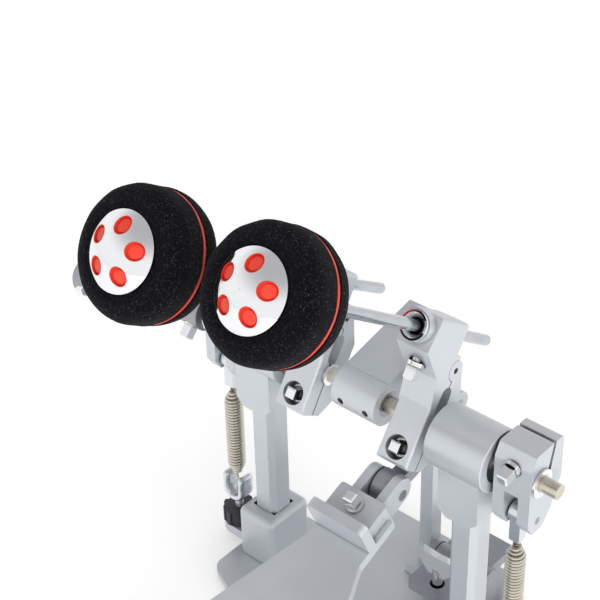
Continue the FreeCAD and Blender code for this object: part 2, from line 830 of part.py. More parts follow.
def front_jaw(side):
    body = new_body()
    crown = knuckle_reach + knuckle_radius + holder_corner
    side_view = [
        (-jaw_foot, slit_front), (-jaw_foot, jaw_front - jaw_edge), (jaw_edge - jaw_foot, jaw_front),
        (jaw_step, jaw_front), (holder_foot, holder_brace), (crown, holder_back), (crown, slit_front),
    ]
    extrude(body, polygon(new_sketch(body, "YZ_Plane"), side_view), hub_width, centred=True)
    upright = runs_along(Y_AXIS)
    dress(body, jaw_edge, lambda edge: upright(edge) and near(middle(edge).z, jaw_front))
    block = [
        (holder_foot, holder_brace), (holder_brow, holder_front + holder_corner), (holder_top, holder_front),
        (holder_top, holder_back), (knuckle_reach, holder_back),
    ]
    extrude(body, polygon(new_sketch(body, "YZ_Plane"), block), hub_width, centred=True)
    dress(body, holder_corner, lambda edge: near(middle(edge).y, holder_top))
    barrel = circle(new_sketch(body, "XY_Plane", holder_back), (0, shaft_offset), barrel_radius)
    extrude(body, barrel, barrel_front - holder_back)
    drill(body, "YZ_Plane", knuckle, knuckle_radius + seat_gap)
    web = circle(new_sketch(body, "YZ_Plane"), knuckle, knuckle_radius + 2 * seat_gap)
    extrude(body, web, tongue_width, centred=True)
    drill(body, "YZ_Plane", knuckle, jaw_pin_radius + clamp_gap)
    cut_through(body, slot(new_sketch(body, "YZ_Plane"), window_low, window_high, slit_offset, window_radius))
    drill(body, "YZ_Plane", (0, 0), axle_radius + clamp_gap)
    drill(body, "XY_Plane", (0, shaft_offset), shaft_radius + running_gap)
    pit_floor = new_sketch(body, "XY_Plane", barrel_front - bush_depth)
    bush_pit = circle(pit_floor, (0, shaft_offset), bush_spigot + clamp_gap)
    extrude(body, bush_pit, barrel_front, reverse=True, cut=True)
    drill(body, "XY_Plane", (0, -key_bolt_drop), key_shank + clamp_gap)
    recess = circle(new_sketch(body, "XY_Plane", key_bolt_seat), (0, -key_bolt_drop), key_bolt_recess)
    extrude(body, recess, jaw_front, reverse=True, cut=True)
    bolt_hole = circle(new_sketch(body, "XZ_Plane"), (0, holder_bolt_ahead), key_shank + clamp_gap)
    extrude(body, bolt_hole, shaft_offset, cut=True)
    under = new_sketch(body, "XZ_Plane", -holder_bolt_foot)
    spot_face = circle(under, (0, holder_bolt_ahead), key_collar + seat_gap)
    extrude(body, spot_face, holder_foot, reverse=True, cut=True)
    in_hub(body, side)
    return keep(body, f"{SIDE_NAMES[side]}_front_jaw")


def back_jaw(side):
    body = new_body()
    shoulder = knuckle_reach - knuckle_radius
    side_view = [
        (-jaw_foot, slit_back), (-jaw_foot, slit_back - jaw_corner), (2 * jaw_corner - jaw_foot, -jaw_back),
        (window_high, -jaw_back), (knuckle_reach + knuckle_radius / 2, -knuckle_radius / 2),
        (shoulder, slit_back),
    ]
    extrude(body, polygon(new_sketch(body, "YZ_Plane"), side_view), hub_width, centred=True)
    extrude(body, circle(new_sketch(body, "YZ_Plane"), knuckle, knuckle_radius), hub_width, centred=True)
    if side == RIGHT:
        ears = circle(new_sketch(body, "YZ_Plane"), link_pin, link_eye_high + side_gap)
        extrude(body, ears, hub_width, centred=True)
        room = circle(new_sketch(body, "YZ_Plane"), link_pin, link_eye_high + link_slot_gap)
        extrude(body, room, link_width + 2 * side_gap, centred=True, cut=True)
        behind = -jaw_back - link_eye_high
        foot = -jaw_foot - side_gap
        path = [
            (foot, behind), (link_pin_up, behind), (link_pin_up, -link_groove),
            (-key_bolt_drop, -link_groove), (foot, -link_heel),
        ]
        groove = polygon(new_sketch(body, "YZ_Plane"), path)
        extrude(body, groove, link_width + 2 * side_gap, centred=True, cut=True)
        drill(body, "YZ_Plane", link_pin, link_pin_radius + clamp_gap)
    gap = circle(new_sketch(body, "YZ_Plane"), knuckle, knuckle_radius + 3 * seat_gap)
    extrude(body, gap, tongue_width + 2 * side_gap, centred=True, cut=True)
    drill(body, "YZ_Plane", knuckle, jaw_pin_radius + clamp_gap)
    cut_through(body, slot(new_sketch(body, "YZ_Plane"), window_low, window_high, slit_offset, window_radius))
    drill(body, "YZ_Plane", (0, 0), axle_radius + clamp_gap)
    drill(body, "XY_Plane", (0, -key_bolt_drop), key_shank + clamp_gap)
    in_hub(body, side)
    return keep(body, f"{SIDE_NAMES[side]}_back_jaw")


def shaft_bush(side):
    """A chrome bush in the barrel's mouth, its front hollowed to a cone round the shaft."""
    bore = shaft_radius + running_gap
    cone = bush_mouth - bore
    profile = [
        (bore, -bush_depth), (bush_spigot, -bush_depth), (bush_spigot, 0), (bush_flange, 0),
        (bush_flange, bush_thick), (bush_mouth, bush_thick), (bore, bush_thick - cone),
    ]
    y, z = hub_point(side, shaft_offset, barrel_front)
    bush = turned(profile, x=side * hub_x, y=y, z=z, angle=LEANS[side])
    return keep(bush, f"{SIDE_NAMES[side]}_shaft_bush")


def hub_bolts(side):
    """The clamp bolt sunk in the front jaw and the holder bolt that grips the shaft."""
    lean = LEANS[side]
    y, z = hub_point(side, -key_bolt_drop, key_bolt_seat)
    clamp = key_bolt(key_bolt_seat + jaw_back / 2, x=side * hub_x, y=y, z=z, angle=lean)
    y, z = hub_point(side, holder_bolt_foot, holder_bolt_ahead)
    grip = shaft_offset - shaft_radius - running_gap - holder_bolt_foot
    holder = key_bolt(grip, x=side * hub_x, y=y, z=z, angle=lean + 90)
    return [clamp, holder]


# Beaters: each turned about its own shaft, whose foot lies on the hub's shaft line.
def on_shaft(body, side):
    y, z = hub_point(side, shaft_offset, 0)
    return place(body, x=side * hub_x, y=y, z=z, angle=LEANS[side])


def dimple_centres():
    step = 360 / DIMPLE_COUNT
    angles = [math.radians(90 + step * number) for number in range(DIMPLE_COUNT)]
    return [(dimple_circle * math.cos(angle), dimple_circle * math.sin(angle)) for angle in angles]


def beater_shaft(reach):
    body = new_body()
    tip = reach + shaft_in_core
    revolve(body, polygon(new_sketch(body, "XZ_Plane"), rod(shaft_radius, -shaft_tail, tip)))
    dress(body, shaft_radius / 3, lambda edge: near(middle(edge).z, -shaft_tail))
    return body


cap_rise = cap_height - cap_rim
cap_curve = (cap_radius * cap_radius + cap_rise * cap_rise) / (2 * cap_rise)


def dome(base, radius, start, sink):
    """A round plug under the cap's own curve, sunk below it by a depth."""
    plug = cylinder(radius, cap_height + base - start, z=start)
    ball = sphere(cap_curve - sink, base + cap_height - cap_curve)
    return overlap(plug, ball)


def beater_core(reach):
    """Elastomer hub with a thin rim ring between the felts and a dome that shows in the cap's holes."""
    body = new_body()
    bore = shaft_radius + clamp_gap
    rim = felt_radius - ring_sink
    back = reach - core_back
    low = reach - ring_half
    high = reach + ring_half
    front = reach + felt_front
    tip = reach + shaft_in_core
    profile = [
        (bore, back), (core_radius, back), (core_radius, low), (rim, low), (rim, high),
        (core_radius, high), (core_radius, front), (0, front), (0, tip), (bore, tip),
    ]
    revolve(body, polygon(new_sketch(body, "XZ_Plane"), profile))
    return join(body, dome(front, cap_radius - 2 * cap_wall, front, dimple_depth))


def felt_half_wheel(start, end, rounding):
    """One felt ring, crowned on its outer edge."""
    body = new_body()
    inner = core_radius + clamp_gap
    revolve(body, polygon(new_sketch(body, "XZ_Plane"), ring(inner, felt_radius, start, end)))
    dress(body, rounding, lambda edge: near(middle(edge).z, end) and near(edge.Curve.Radius, felt_radius))
    return body


def beater_cap(reach):
    """A chrome dome on a short rim, with round holes through its shoulder."""
    base = reach + felt_front
    shell = dome(base, cap_radius, base, 0)
    hollow = dome(base, cap_radius - cap_wall, base - side_gap, cap_wall)
    holes = [cylinder(dimple_radius, cap_height, x=x, y=y, z=base) for x, y in dimple_centres()]
    return remove(shell, hollow, *holes)


def beater(side):
    name = SIDE_NAMES[side]
    reach = REACHES[side]
    felts = [
        felt_half_wheel(reach + ring_half, reach + felt_front, front_round),
        felt_half_wheel(reach - ring_half, reach - felt_back, back_round),
    ]
    keep(on_shaft(beater_shaft(reach), side), f"{name}_beater_shaft")
    keep(on_shaft(beater_core(reach), side), f"{name}_beater_core")
    keep(on_shaft(beater_cap(reach), side), f"{name}_beater_cap")
    group(f"{name}_beater_felt", [on_shaft(felt, side) for felt in felts])


# Spring rockers: split clamps on the axle ends, slotted below for the spring hook.
def dipped_sketch(body):
    """A sketch square to the rocker's bolt, on its front face."""
    sketch = new_sketch(body, "XZ_Plane")
    seat = Vector(0, rocker_bolt_z, rocker_front)
    sketch.AttachmentOffset = Placement(seat, Rotation(X_AXIS, rocker_bolt_dip))
    bind(sketch, "AttachmentOffset.Base.y", rocker_bolt_z)
    bind(sketch, "AttachmentOffset.Base.z", rocker_front)
    bind(sketch, "AttachmentOffset.Rotation.Angle", rocker_bolt_dip)
    return sketch


def rocker(side):
    body = new_body()
    shoulder = rocker_bolt_z + key_collar_thick
    half_foot = rocker_front / 2
    side_view = [
        (-rocker_front, shoulder), (rocker_corner - rocker_front, rocker_top), (rocker_back, rocker_top),
        (rocker_back, -washer_radius), (rocker_front + key_collar_thick, -spring_pin_drop),
        (half_foot, -rocker_drop), (-half_foot, -rocker_drop), (-rocker_front, -spring_pin_drop),
    ]
    extrude(body, polygon(new_sketch(body, "YZ_Plane"), side_view), rocker_width, centred=True)
    dress(body, rocker_corner / 2, runs_along(X_AXIS))
    drill(body, "YZ_Plane", (0, 0), axle_radius + clamp_gap)
    near_side = rocker_slit_y - rocker_slit / 2
    far_side = rocker_slit_y + rocker_slit / 2
    over = rocker_top + rocker_slit
    slant = over * sine(rocker_bolt_dip)
    split = [
        (0, 0), (far_side, 0), (far_side + slant, over), (near_side + slant, over),
        (near_side, rocker_slit), (0, rocker_slit),
    ]
    cut_through(body, polygon(new_sketch(body, "YZ_Plane"), split))
    ahead = -rocker_front - rocker_slot
    below = -rocker_drop - rocker_slot
    pocket = [
        (ahead, -rocker_slot_top), (hook_eye + side_gap, -rocker_slot_top),
        (hook_eye + side_gap, hook_eye - spring_pin_drop),
        (rocker_back, hook_eye - spring_pin_drop - rocker_corner),
        (rocker_back, below), (ahead, below),
    ]
    extrude(body, polygon(new_sketch(body, "YZ_Plane"), pocket), rocker_slot, centred=True, cut=True)
    drill(body, "YZ_Plane", (0, -spring_pin_drop), spring_pin_radius + clamp_gap)
    bolt_hole = circle(dipped_sketch(body), (0, 0), key_shank + clamp_gap)
    extrude(body, bolt_hole, rocker_bolt_length + side_gap, cut=True)
    spot_face = circle(dipped_sketch(body), (0, 0), key_collar + seat_gap)
    extrude(body, spot_face, rocker_front, reverse=True, cut=True)
    place(body, x=side * spring_x, z=axle_height)
    return keep(body, f"{SIDE_NAMES[side]}_rocker")


def rocker_bolt(side):
    z = axle_height + rocker_bolt_z
    return key_bolt(rocker_bolt_length, x=side * spring_x, y=-rocker_front, z=z, angle=90 + rocker_bolt_dip)


# Springs: one wire each, wound as biarcs and drawn in to the axis at both ends.
def biarc(start, out, end, into):
    """Two tangent arcs from a point and direction to another point and direction."""
    span = end - start
    both = out + into
    spread = 2 * (1 - out.dot(into))
    lean_in = span.dot(both)
    reach = (math.sqrt(lean_in ** 2 + spread * span.dot(span)) - lean_in) / spread
    first = start + out * reach
    last = end - into * reach
    joint = (first + last) / 2
    return [tangent_arc(start, first, joint), tangent_arc(joint, last, end)]


def tangent_arc(start, apex, end):
    """The arc between two points whose end tangents meet at the apex."""
    chord_middle = (start + end) / 2
    half = (end - start).Length / 2
    rise = apex - chord_middle
    swell = half * math.tan(math.atan2(rise.Length, half) / 2)
    return Part.Arc(start, chord_middle + rise.normalize() * swell, end).toShape()


def coil_point(turn):
    """Point and direction on the helix after a number of turns."""
    pitch = (spring_high - spring_low) / SPRING_TURNS
    angle = 2 * math.pi * turn
    across = spring_radius * math.cos(angle)
    deep = spring_radius * math.sin(angle)
    point = Vector(across, deep, spring_low + pitch * turn)
    along = Vector(-deep, across, pitch / (2 * math.pi))
    return point, along.normalize()


def spring_path():
    lead = float(spring_radius + wire_radius)
    foot = Vector(0, 0, clevis_low + clevis_floor + seat_gap)
    low = Vector(0, 0, spring_low - lead)
    high = Vector(0, 0, spring_high + lead)
    tip = Vector(0, 0, spring_high + spring_tail)
    stations = [coil_point(number / 2) for number in range(2 * SPRING_TURNS + 1)]
    edges = [Part.LineSegment(foot, low).toShape()]
    edges += biarc(low, Z_AXIS, *stations[0])
    for before, after in zip(stations, stations[1:]):
        edges += biarc(*before, *after)
    edges += biarc(*stations[-1], high, Z_AXIS)
    edges.append(Part.LineSegment(high, tip).toShape())
    return Part.Wire(edges)


def least_self_gap():
    """Smallest distance between the surfaces of neighbouring turns, measured on points."""
    per_turn = 36
    points = [coil_point(number / per_turn)[0] for number in range(per_turn * SPRING_TURNS)]
    skip = per_turn // 2
    apart = min(
        (points[first] - points[second]).Length
        for first in range(0, per_turn * 2)
        for second in range(first + skip, min(first + 2 * per_turn, len(points))))
    return apart - 2 * wire_radius


def spring_shape():
    path = spring_path()
    start = path.Edges[0].Vertexes[0].Point
    section = Part.Wire(Part.makeCircle(wire_radius, start, Z_AXIS))
    return path.makePipeShell([section], True, False)


def spring(side):
    made = doc.addObject("Part::Feature", "spring")
    made.Shape = wound_spring
    place(made, x=side * spring_x)
    return keep(made, f"{SIDE_NAMES[side]}_spring")


def spring_hook(side):
    """A bright hook plate: an eye on the rocker's pin and a drilled foot for the spring's end."""
    body = new_body()
    foot = spring_high + spring_radius + wire_radius + seat_gap - axle_height + spring_pin_drop
    bar = [(-hook_waist, 0), (-hook_waist, foot), (hook_waist, foot), (hook_waist, 0)]
    extrude(body, polygon(new_sketch(body, "YZ_Plane"), bar), hook_thick, centred=True)
    extrude(body, circle(new_sketch(body, "YZ_Plane"), (0, 0), hook_eye), hook_thick, centred=True)
    drill(body, "YZ_Plane", (0, 0), spring_pin_radius + pin_gap)
    hole = circle(new_sketch(body, "XY_Plane", foot), (0, 0), hook_hole)
    extrude(body, hole, spring_tail - spring_radius, reverse=True, cut=True)
    place(body, x=side * spring_x, z=axle_height - spring_pin_drop)
    return keep(body, f"{SIDE_NAMES[side]}_spring_hook")


def spring_clevis(side):
    """A cast fork on a threaded stem that holds the spring's lower end."""
    body = new_body()
    gap = clevis_slot / 2
    floor = clevis_low + clevis_floor
    front = [
        (-clevis_half, clevis_low), (clevis_half, clevis_low), (clevis_half, clevis_high), (gap, clevis_high),
        (gap, floor), (-gap, floor), (-gap, clevis_high), (-clevis_half, clevis_high),
    ]
    extrude(body, polygon(new_sketch(body, "XZ_Plane"), front), clevis_depth, centred=True)
    dress(body, clevis_floor * 0.4, lambda edge: runs_along(Y_AXIS)(edge) and not near(middle(edge).z, floor))
    stem = circle(new_sketch(body, "XY_Plane", ear_top), (0, 0), stem_radius)
    extrude(body, stem, clevis_low - ear_top + clevis_floor / 2)
    place(body, x=side * spring_x)
    return keep(body, f"{SIDE_NAMES[side]}_spring_clevis")


def tension_knob(side):
    """A fluted nut on the clevis stem, held in the socket's ear by a spigot and collar."""
    body = new_body()
    bore = stem_radius + running_gap
    base = ear_top + running_gap
    ledge = floor_top + collar_thick
    foot = floor_top + seat_gap
    profile = [
        (bore, knob_high), (bore, foot), (collar_radius, foot), (collar_radius, ledge),
        (spigot_radius, ledge), (spigot_radius, base), (knob_radius, base), (knob_radius, knob_high),
    ]
    revolve(body, polygon(new_sketch(body, "XZ_Plane"), profile))
    flutes = new_sketch(body, "XY_Plane", base)
    for number in range(KNOB_FLUTES):
        turn = 2 * math.pi * number / KNOB_FLUTES
        circle(flutes, (knob_radius * math.cos(turn), knob_radius * math.sin(turn)), knob_flute)
    extrude(body, flutes, knob_high - base, reverse=True, cut=True)
    place(body, x=side * spring_x)
    return keep(body, f"{SIDE_NAMES[side]}_tension_knob")


wound_spring = spring_shape()
for hand in (RIGHT, LEFT):
    front_jaw(hand)
    back_jaw(hand)
    shaft_bush(hand)
    beater(hand)
    rocker(hand)
    spring(hand)
    spring_hook(hand)
    spring_clevis(hand)
    tension_knob(hand)

# Axles, their end rings and the cross pins of each hub and rocker.
rocker_outer = rocker_inner + rocker_width
hub_inner_face = hub_x - hub_width / 2
yoke_end = yoke_inner + yoke_length


def ring_on_axle(label, start, radius):
    piece = turned(
        ring(axle_radius + clamp_gap, radius, 0, washer_thick),
        x=start, z=axle_height, axis=Y_AXIS, angle=90)
    return keep(piece, label)



def main_axle():
    """A round axle with a hexagon between the centre block and the hub."""
    bar = along_x(axle_radius, block_right - bush_length, axle_end, 0, axle_height)
    start = block_right + side_gap
    hexagon = doc.addObject("Part::Prism", "hexagon")
    hexagon.Polygon = 6
    hexagon.Circumradius = float(axle_hex)
    hexagon.Height = float(hub_inner_face - start)
    bind(hexagon, "Circumradius", axle_hex)
    bind(hexagon, "Height", hub_inner_face - start)
    place(hexagon, x=start, z=axle_height, axis=Y_AXIS, angle=90)
    return keep(join(bar, hexagon), "main_axle")


main_axle()
keep(along_x(axle_radius, -yoke_end + bush_thick, washer_thick - hub_inner_face, 0, axle_height), "left_axle")
ring_on_axle("right_axle_washer", rocker_outer, washer_radius)
ring_on_axle("left_axle_ring", -hub_inner_face, left_ring_radius)


def cross_pin(radius, centre, half, y, z):
    return along_x(radius, centre - half, centre + half, y, z)


def hub_pins(side):
    y, z = hub_point(side, *knuckle)
    jaw = cross_pin(jaw_pin_radius, side * hub_x, hub_width / 2 - jaw_pin_sink, y, z)
    hook = cross_pin(spring_pin_radius, side * spring_x, rocker_width / 2, 0, axle_height - spring_pin_drop)
    pins = [jaw, hook]
    if side == RIGHT:
        pins.append(cross_pin(link_pin_radius, hub_x, hub_width / 2, link_pin_y, axle_height + link_pin_rise))
    return group(f"{SIDE_NAMES[side]}_pins", pins)


hub_pins(RIGHT)
hub_pins(LEFT)
yoke_bolt_x = yoke_inner + yoke_length / 2
yoke_bolt_y = -yoke_radius * cosine(yoke_bolt_dip)
yoke_bolt_z = axle_height - yoke_radius * sine(yoke_bolt_dip)
yoke_grip = yoke_radius - axle_radius - clamp_gap
yoke_bolt = key_bolt(yoke_grip, x=-yoke_bolt_x, y=yoke_bolt_y, z=yoke_bolt_z, angle=90 + yoke_bolt_dip)
group("right_key_bolts", hub_bolts(RIGHT) + [rocker_bolt(RIGHT)])
group("left_key_bolts", hub_bolts(LEFT) + [rocker_bolt(LEFT), yoke_bolt])

# Footboard, built along its own slope: local Y runs from the heel hinge to the fork pin.
board_rise = axle_height - fork_pin_drop - heel_hinge_z
board_run = heel_hinge_y - fork_pin_y
board_slope = slope_angle(board_rise, board_run)
pin_reach = distance(board_rise, board_run)
board_low = board_top - board_thick
nose_end = pin_reach - nose_setback
nose_start = nose_end - nose_length
nose_bolt_y = nose_end - nose_bolt_back
board_neck_end = nose_start - board_neck_gap
board_neck_start = board_neck_end - board_neck_length


def on_board(body):
    return place(body, x=hub_x, y=-heel_hinge_y, z=heel_hinge_z, angle=board_slope)


def footboard():
    body = new_body()
    heel_edge = hinge_radius + side_gap * 4
    plan = [
        (-board_half, heel_edge), (board_half, heel_edge), (board_half, board_neck_start),
        (board_neck, board_neck_end), (board_neck, nose_end), (-board_neck, nose_end),
        (-board_neck, board_neck_end), (-board_half, board_neck_start),
    ]
    extrude(body, polygon(new_sketch(body, "XY_Plane", board_low), plan), board_thick)
    half = hinge_inner - side_gap
    root = heel_edge + board_thick
    knuckle_link = [(0, board_low), (root, board_low), (root, board_top), (0, board_top)]
    extrude(body, polygon(new_sketch(body, "YZ_Plane"), knuckle_link), 2 * half, centred=True)
    extrude(body, circle(new_sketch(body, "YZ_Plane"), (0, 0), hinge_radius), 2 * half, centred=True)
    drill(body, "YZ_Plane", (0, 0), hinge_pin_radius + pin_gap)
    grip_slots = new_sketch(body, "XY_Plane")
    for number in range(BOARD_SLOTS):
        level = board_slot_first + number * board_slot_pitch
        slot(grip_slots, -board_slot_reach, board_slot_reach, level, board_slot_half)
    cut_through(body, grip_slots)
    return keep(on_board(body), "footboard")


def footboard_nose():
    """Cast toe block with a raised rim behind it and a fork for the drive link."""
    body = new_body()
    front = nose_end + nose_round
    chin = -fork_tip / 2
    behind_rim = nose_start + nose_rim_thick
    rim = [(nose_start, board_top), (nose_start, nose_rim), (behind_rim, nose_rim), (behind_rim, board_top)]
    extrude(body, polygon(new_sketch(body, "YZ_Plane"), rim), 2 * board_neck, centred=True)
    dress(body, nose_round, lambda edge: runs_along(Y_AXIS)(edge) and near(middle(edge).z, nose_rim))
    block = [
        (nose_start, board_top), (nose_start, nose_top), (front, nose_top), (front, chin),
        (nose_end, chin), (nose_end, board_top),
    ]
    extrude(body, polygon(new_sketch(body, "YZ_Plane"), block), 2 * nose_half, centred=True)
    dress(body, nose_round / 2, lambda edge: runs_along(Z_AXIS)(edge) and near(middle(edge).y, front))
    low = fork_lift - fork_tip
    high = fork_lift + fork_tip
    root = nose_end + nose_round / 2
    arm = [(root, low), (pin_reach, low), (pin_reach, high), (root, high)]
    for start in (fork_inner, -fork_half):
        extrude(body, polygon(new_sketch(body, "YZ_Plane", start), arm), fork_half - fork_inner)
        tip = circle(new_sketch(body, "YZ_Plane", start), (pin_reach, fork_lift), fork_tip)
        extrude(body, tip, fork_half - fork_inner)
    drill(body, "YZ_Plane", (pin_reach, 0), fork_pin_radius + clamp_gap)
    drill(body, "XY_Plane", (0, nose_bolt_y), key_shank + clamp_gap)
    return keep(on_board(body), "footboard_nose")


def nose_bolt():
    y = nose_bolt_y * cosine(board_slope) - nose_top * sine(board_slope) - heel_hinge_y
    z = nose_bolt_y * sine(board_slope) + nose_top * cosine(board_slope) + heel_hinge_z
    return keep(key_bolt(nose_top - board_top, x=hub_x, y=y, z=z, angle=board_slope), "nose_bolt")


footboard()
footboard_nose()
nose_bolt()
keep(cross_pin(fork_pin_radius, hub_x, fork_half, -fork_pin_y, axle_height - fork_pin_drop), "fork_pin")

# Drive link: a bowed bar from the fork pin, under the hub, to the back jaw's ears.
link_run = fork_pin_y + link_pin_y
link_rise = fork_pin_drop + link_pin_rise
link_length = distance(link_rise, link_run)
link_slope = slope_angle(link_rise, link_run)


def drive_link():
    body = new_body()
    bow = (link_length * link_length / 4 + link_bend * link_bend) / (2 * link_bend)
    centre = (-link_length / 2, bow - link_bend)
    outer = bow + link_bar / 2
    band = circle(new_sketch(body, "YZ_Plane"), centre, outer)
    circle(band, centre, bow - link_bar / 2)
    extrude(body, band, link_width, centred=True)
    high = centre[1] + outer + link_bar
    spare = [(-link_length / 2 - outer, 0), (outer - link_length / 2, 0), (outer - link_length / 2, high)]
    spare.append((-link_length / 2 - outer, high))
    cut_through(body, polygon(new_sketch(body, "YZ_Plane"), spare))
    for station, radius in ((0, link_eye_high), (-link_length, link_eye_low)):
        eye = circle(new_sketch(body, "YZ_Plane"), (station, 0), radius)
        extrude(body, eye, link_width, centred=True)
    drill(body, "YZ_Plane", (0, 0), link_pin_radius + pin_gap)
    open_hole = circle(new_sketch(body, "YZ_Plane"), (-link_length, 0), fork_pin_radius + open_pivot_gap)
    cut_through(body, open_hole)
    place(body, x=hub_x, y=link_pin_y, z=axle_height + link_pin_rise, angle=link_slope)
    return keep(body, "drive_link")


drive_link()


# Heel plate with its two hinge cheeks, hinge pin and floor bolts.
def heel_plate():
    body = new_body()
    rear = mat_inset * 2 - heel_end
    half = heel_half - mat_inset
    side_view = [
        (rear, floor_top), (rear, heel_top - heel_chamfer), (rear + heel_chamfer, heel_top),
        (-heel_front, heel_top), (-heel_front, floor_top),
    ]
    extrude(body, polygon(new_sketch(body, "YZ_Plane"), side_view), 2 * half, centred=True)
    front = hinge_radius - heel_hinge_y
    root = -heel_front - hinge_radius
    top = heel_hinge_z + hinge_radius
    cheek = [
        (root, floor_top), (front, floor_top), (front, heel_hinge_z), (-heel_hinge_y, heel_hinge_z),
        (-heel_hinge_y, top), (-heel_front, heel_top), (root, heel_top),
    ]
    for start in (hinge_inner, -half):
        extrude(body, polygon(new_sketch(body, "YZ_Plane", start), cheek), half - hinge_inner)
        eye = circle(new_sketch(body, "YZ_Plane", start), (-heel_hinge_y, heel_hinge_z), hinge_radius)
        extrude(body, eye, half - hinge_inner)
    drill(body, "YZ_Plane", (-heel_hinge_y, heel_hinge_z), hinge_pin_radius + clamp_gap)
    holes = new_sketch(body, "XY_Plane")
    for offset in (heel_bolt_x, -heel_bolt_x):
        circle(holes, (offset, -heel_bolt_y), bolt_shank + clamp_gap)
    cut_through(body, holes)
    place(body, x=hub_x)
    return keep(body, "heel_plate")


def floor_bolt(x, y, seat):
    """A pan-head bolt that stops on the floor plate."""
    profile = [
        (0, floor_top), (bolt_shank, floor_top), (bolt_shank, seat), (bolt_head, seat),
        (bolt_head, seat + bolt_head_high), (0, seat + bolt_head_high),
    ]
    return turned(profile, x=x, y=y)


heel_plate()
keep(cross_pin(hinge_pin_radius, hub_x, heel_half - mat_inset, -heel_hinge_y, heel_hinge_z), "heel_hinge_pin")
heel_bolt_stations = (hub_x + heel_bolt_x, hub_x - heel_bolt_x)
group("base_bolts", [floor_bolt(station, -heel_bolt_y, heel_top) for station in heel_bolt_stations])


# Universal joint: inner yoke on the left axle, cross, and a drooping outer yoke with the shaft socket.
def yoke_arms(start, end, upright):
    """Two arms beside the cross's middle, above and below it or in front of and behind it."""
    low = yoke_gap / 2
    high = low + yoke_arm_thick
    half = yoke_arm_width / 2
    arms = []
    for first, last in ((low, high), (-high, -low)):
        if upright:
            arms.append(box((start, -half, first), (end, half, last)))
        else:
            arms.append(box((start, first, -half), (end, last, half)))
    return arms


def level_bar(radius, half):
    """A round bar along Y through the cross's middle."""
    return cylinder(radius, 2 * half, y=half, axis=X_AXIS, angle=90)


def upright_bar(radius, half):
    """A round bar along Z through the cross's middle."""
    return cylinder(radius, 2 * half, z=-half, axis=Z_AXIS)


def bolt_seat(station, dip):
    """Tools for a clamp bolt: its hole and a spot face for its collar."""
    hole = cylinder(key_shank + clamp_gap, 2 * yoke_radius, x=station, axis=X_AXIS, angle=90 + dip)
    y = -yoke_radius * cosine(dip)
    z = -yoke_radius * sine(dip)
    face = cylinder(key_collar + side_gap, yoke_radius, x=station, y=y, z=z, axis=X_AXIS, angle=90 + dip)
    return [hole, face]


yoke_shell = yoke_radius + yoke_arm_thick / 2
arm_end = cross_x - yoke_end - yoke_arm
socket_bolt_x = socket_end - link_bore_depth / 2


def inner_yoke():
    near_face = cross_x - yoke_end
    far_face = cross_x - yoke_inner
    hub = along_x(yoke_shell, near_face, far_face, 0, 0)
    arms = yoke_arms(arm_end, near_face + side_gap, True)
    bore = along_x(axle_radius + clamp_gap, near_face + bush_thick, far_face, 0, 0)
    pivot = upright_bar(cross_pin_radius + pin_gap, 2 * yoke_gap)
    made = remove(join(hub, *arms), bore, pivot, *bolt_seat(cross_x - yoke_bolt_x, yoke_bolt_dip))
    return keep(place(made, x=-cross_x, z=axle_height), "inner_yoke")


def joint_cross():
    half = cross_side / 2
    reach = yoke_gap / 2 + yoke_arm_thick
    block = box((-half, -half, -half), (half, half, half))
    made = join(block, upright_bar(cross_pin_radius, reach), level_bar(cross_pin_radius, reach))
    return keep(place(made, x=-cross_x, z=axle_height), "joint_cross")


def outer_yoke():
    hub = along_x(yoke_shell, -socket_end, -socket_start, 0, 0)
    arms = yoke_arms(-socket_start - side_gap, -arm_end, False)
    bore = along_x(link_bore, -socket_end, link_bore_depth - socket_end, 0, 0)
    pivot = level_bar(cross_pin_radius + pin_gap, 2 * yoke_gap)
    made = remove(join(hub, *arms), bore, pivot, *bolt_seat(-socket_bolt_x, 0))
    return keep(place(made, x=-cross_x, z=axle_height, axis=Y_AXIS, angle=-yoke_droop), "outer_yoke")


def socket_bolt():
    """The socket's key bolt, square to the drooping socket."""
    bolt = key_bolt(yoke_radius - link_bore - side_gap, x=-socket_bolt_x, y=-yoke_radius, angle=90)
    holder = doc.addObject("Part::Compound", "socket_key_bolt")
    holder.Links = [bolt]
    return keep(place(holder, x=-cross_x, z=axle_height, axis=Y_AXIS, angle=-yoke_droop), "socket_key_bolt")


inner_yoke()
joint_cross()
outer_yoke()
socket_bolt()


# Hoop clamp: two cheeks on the plate, a rocking jaw and its thumb screw.
def hoop_bracket():
    body = new_body()
    high = clamp_half + clamp_cheek
    low = floor_top
    rear = clamp_pivot_y - clamp_cheek_radius
    front = clamp_pivot_y + clamp_cheek_radius
    cheek = [(rear, low), (front, low), (front, clamp_pivot_z), (rear, clamp_pivot_z)]
    for start in (clamp_half + side_gap, -high - side_gap):
        extrude(body, polygon(new_sketch(body, "YZ_Plane", start), cheek), clamp_cheek)
        eye = circle(new_sketch(body, "YZ_Plane", start), (clamp_pivot_y, clamp_pivot_z), clamp_cheek_radius)
        extrude(body, eye, clamp_cheek)
    strap = [(rear, low), (front, low), (front, low + clamp_cheek), (rear, low + clamp_cheek)]
    extrude(body, polygon(new_sketch(body, "YZ_Plane"), strap), 2 * (high + side_gap), centred=True)
    drill(body, "YZ_Plane", (clamp_pivot_y, clamp_pivot_z), clamp_pin_radius + clamp_gap)
    place(body, x=clamp_x)
    return keep(body, "hoop_bracket")


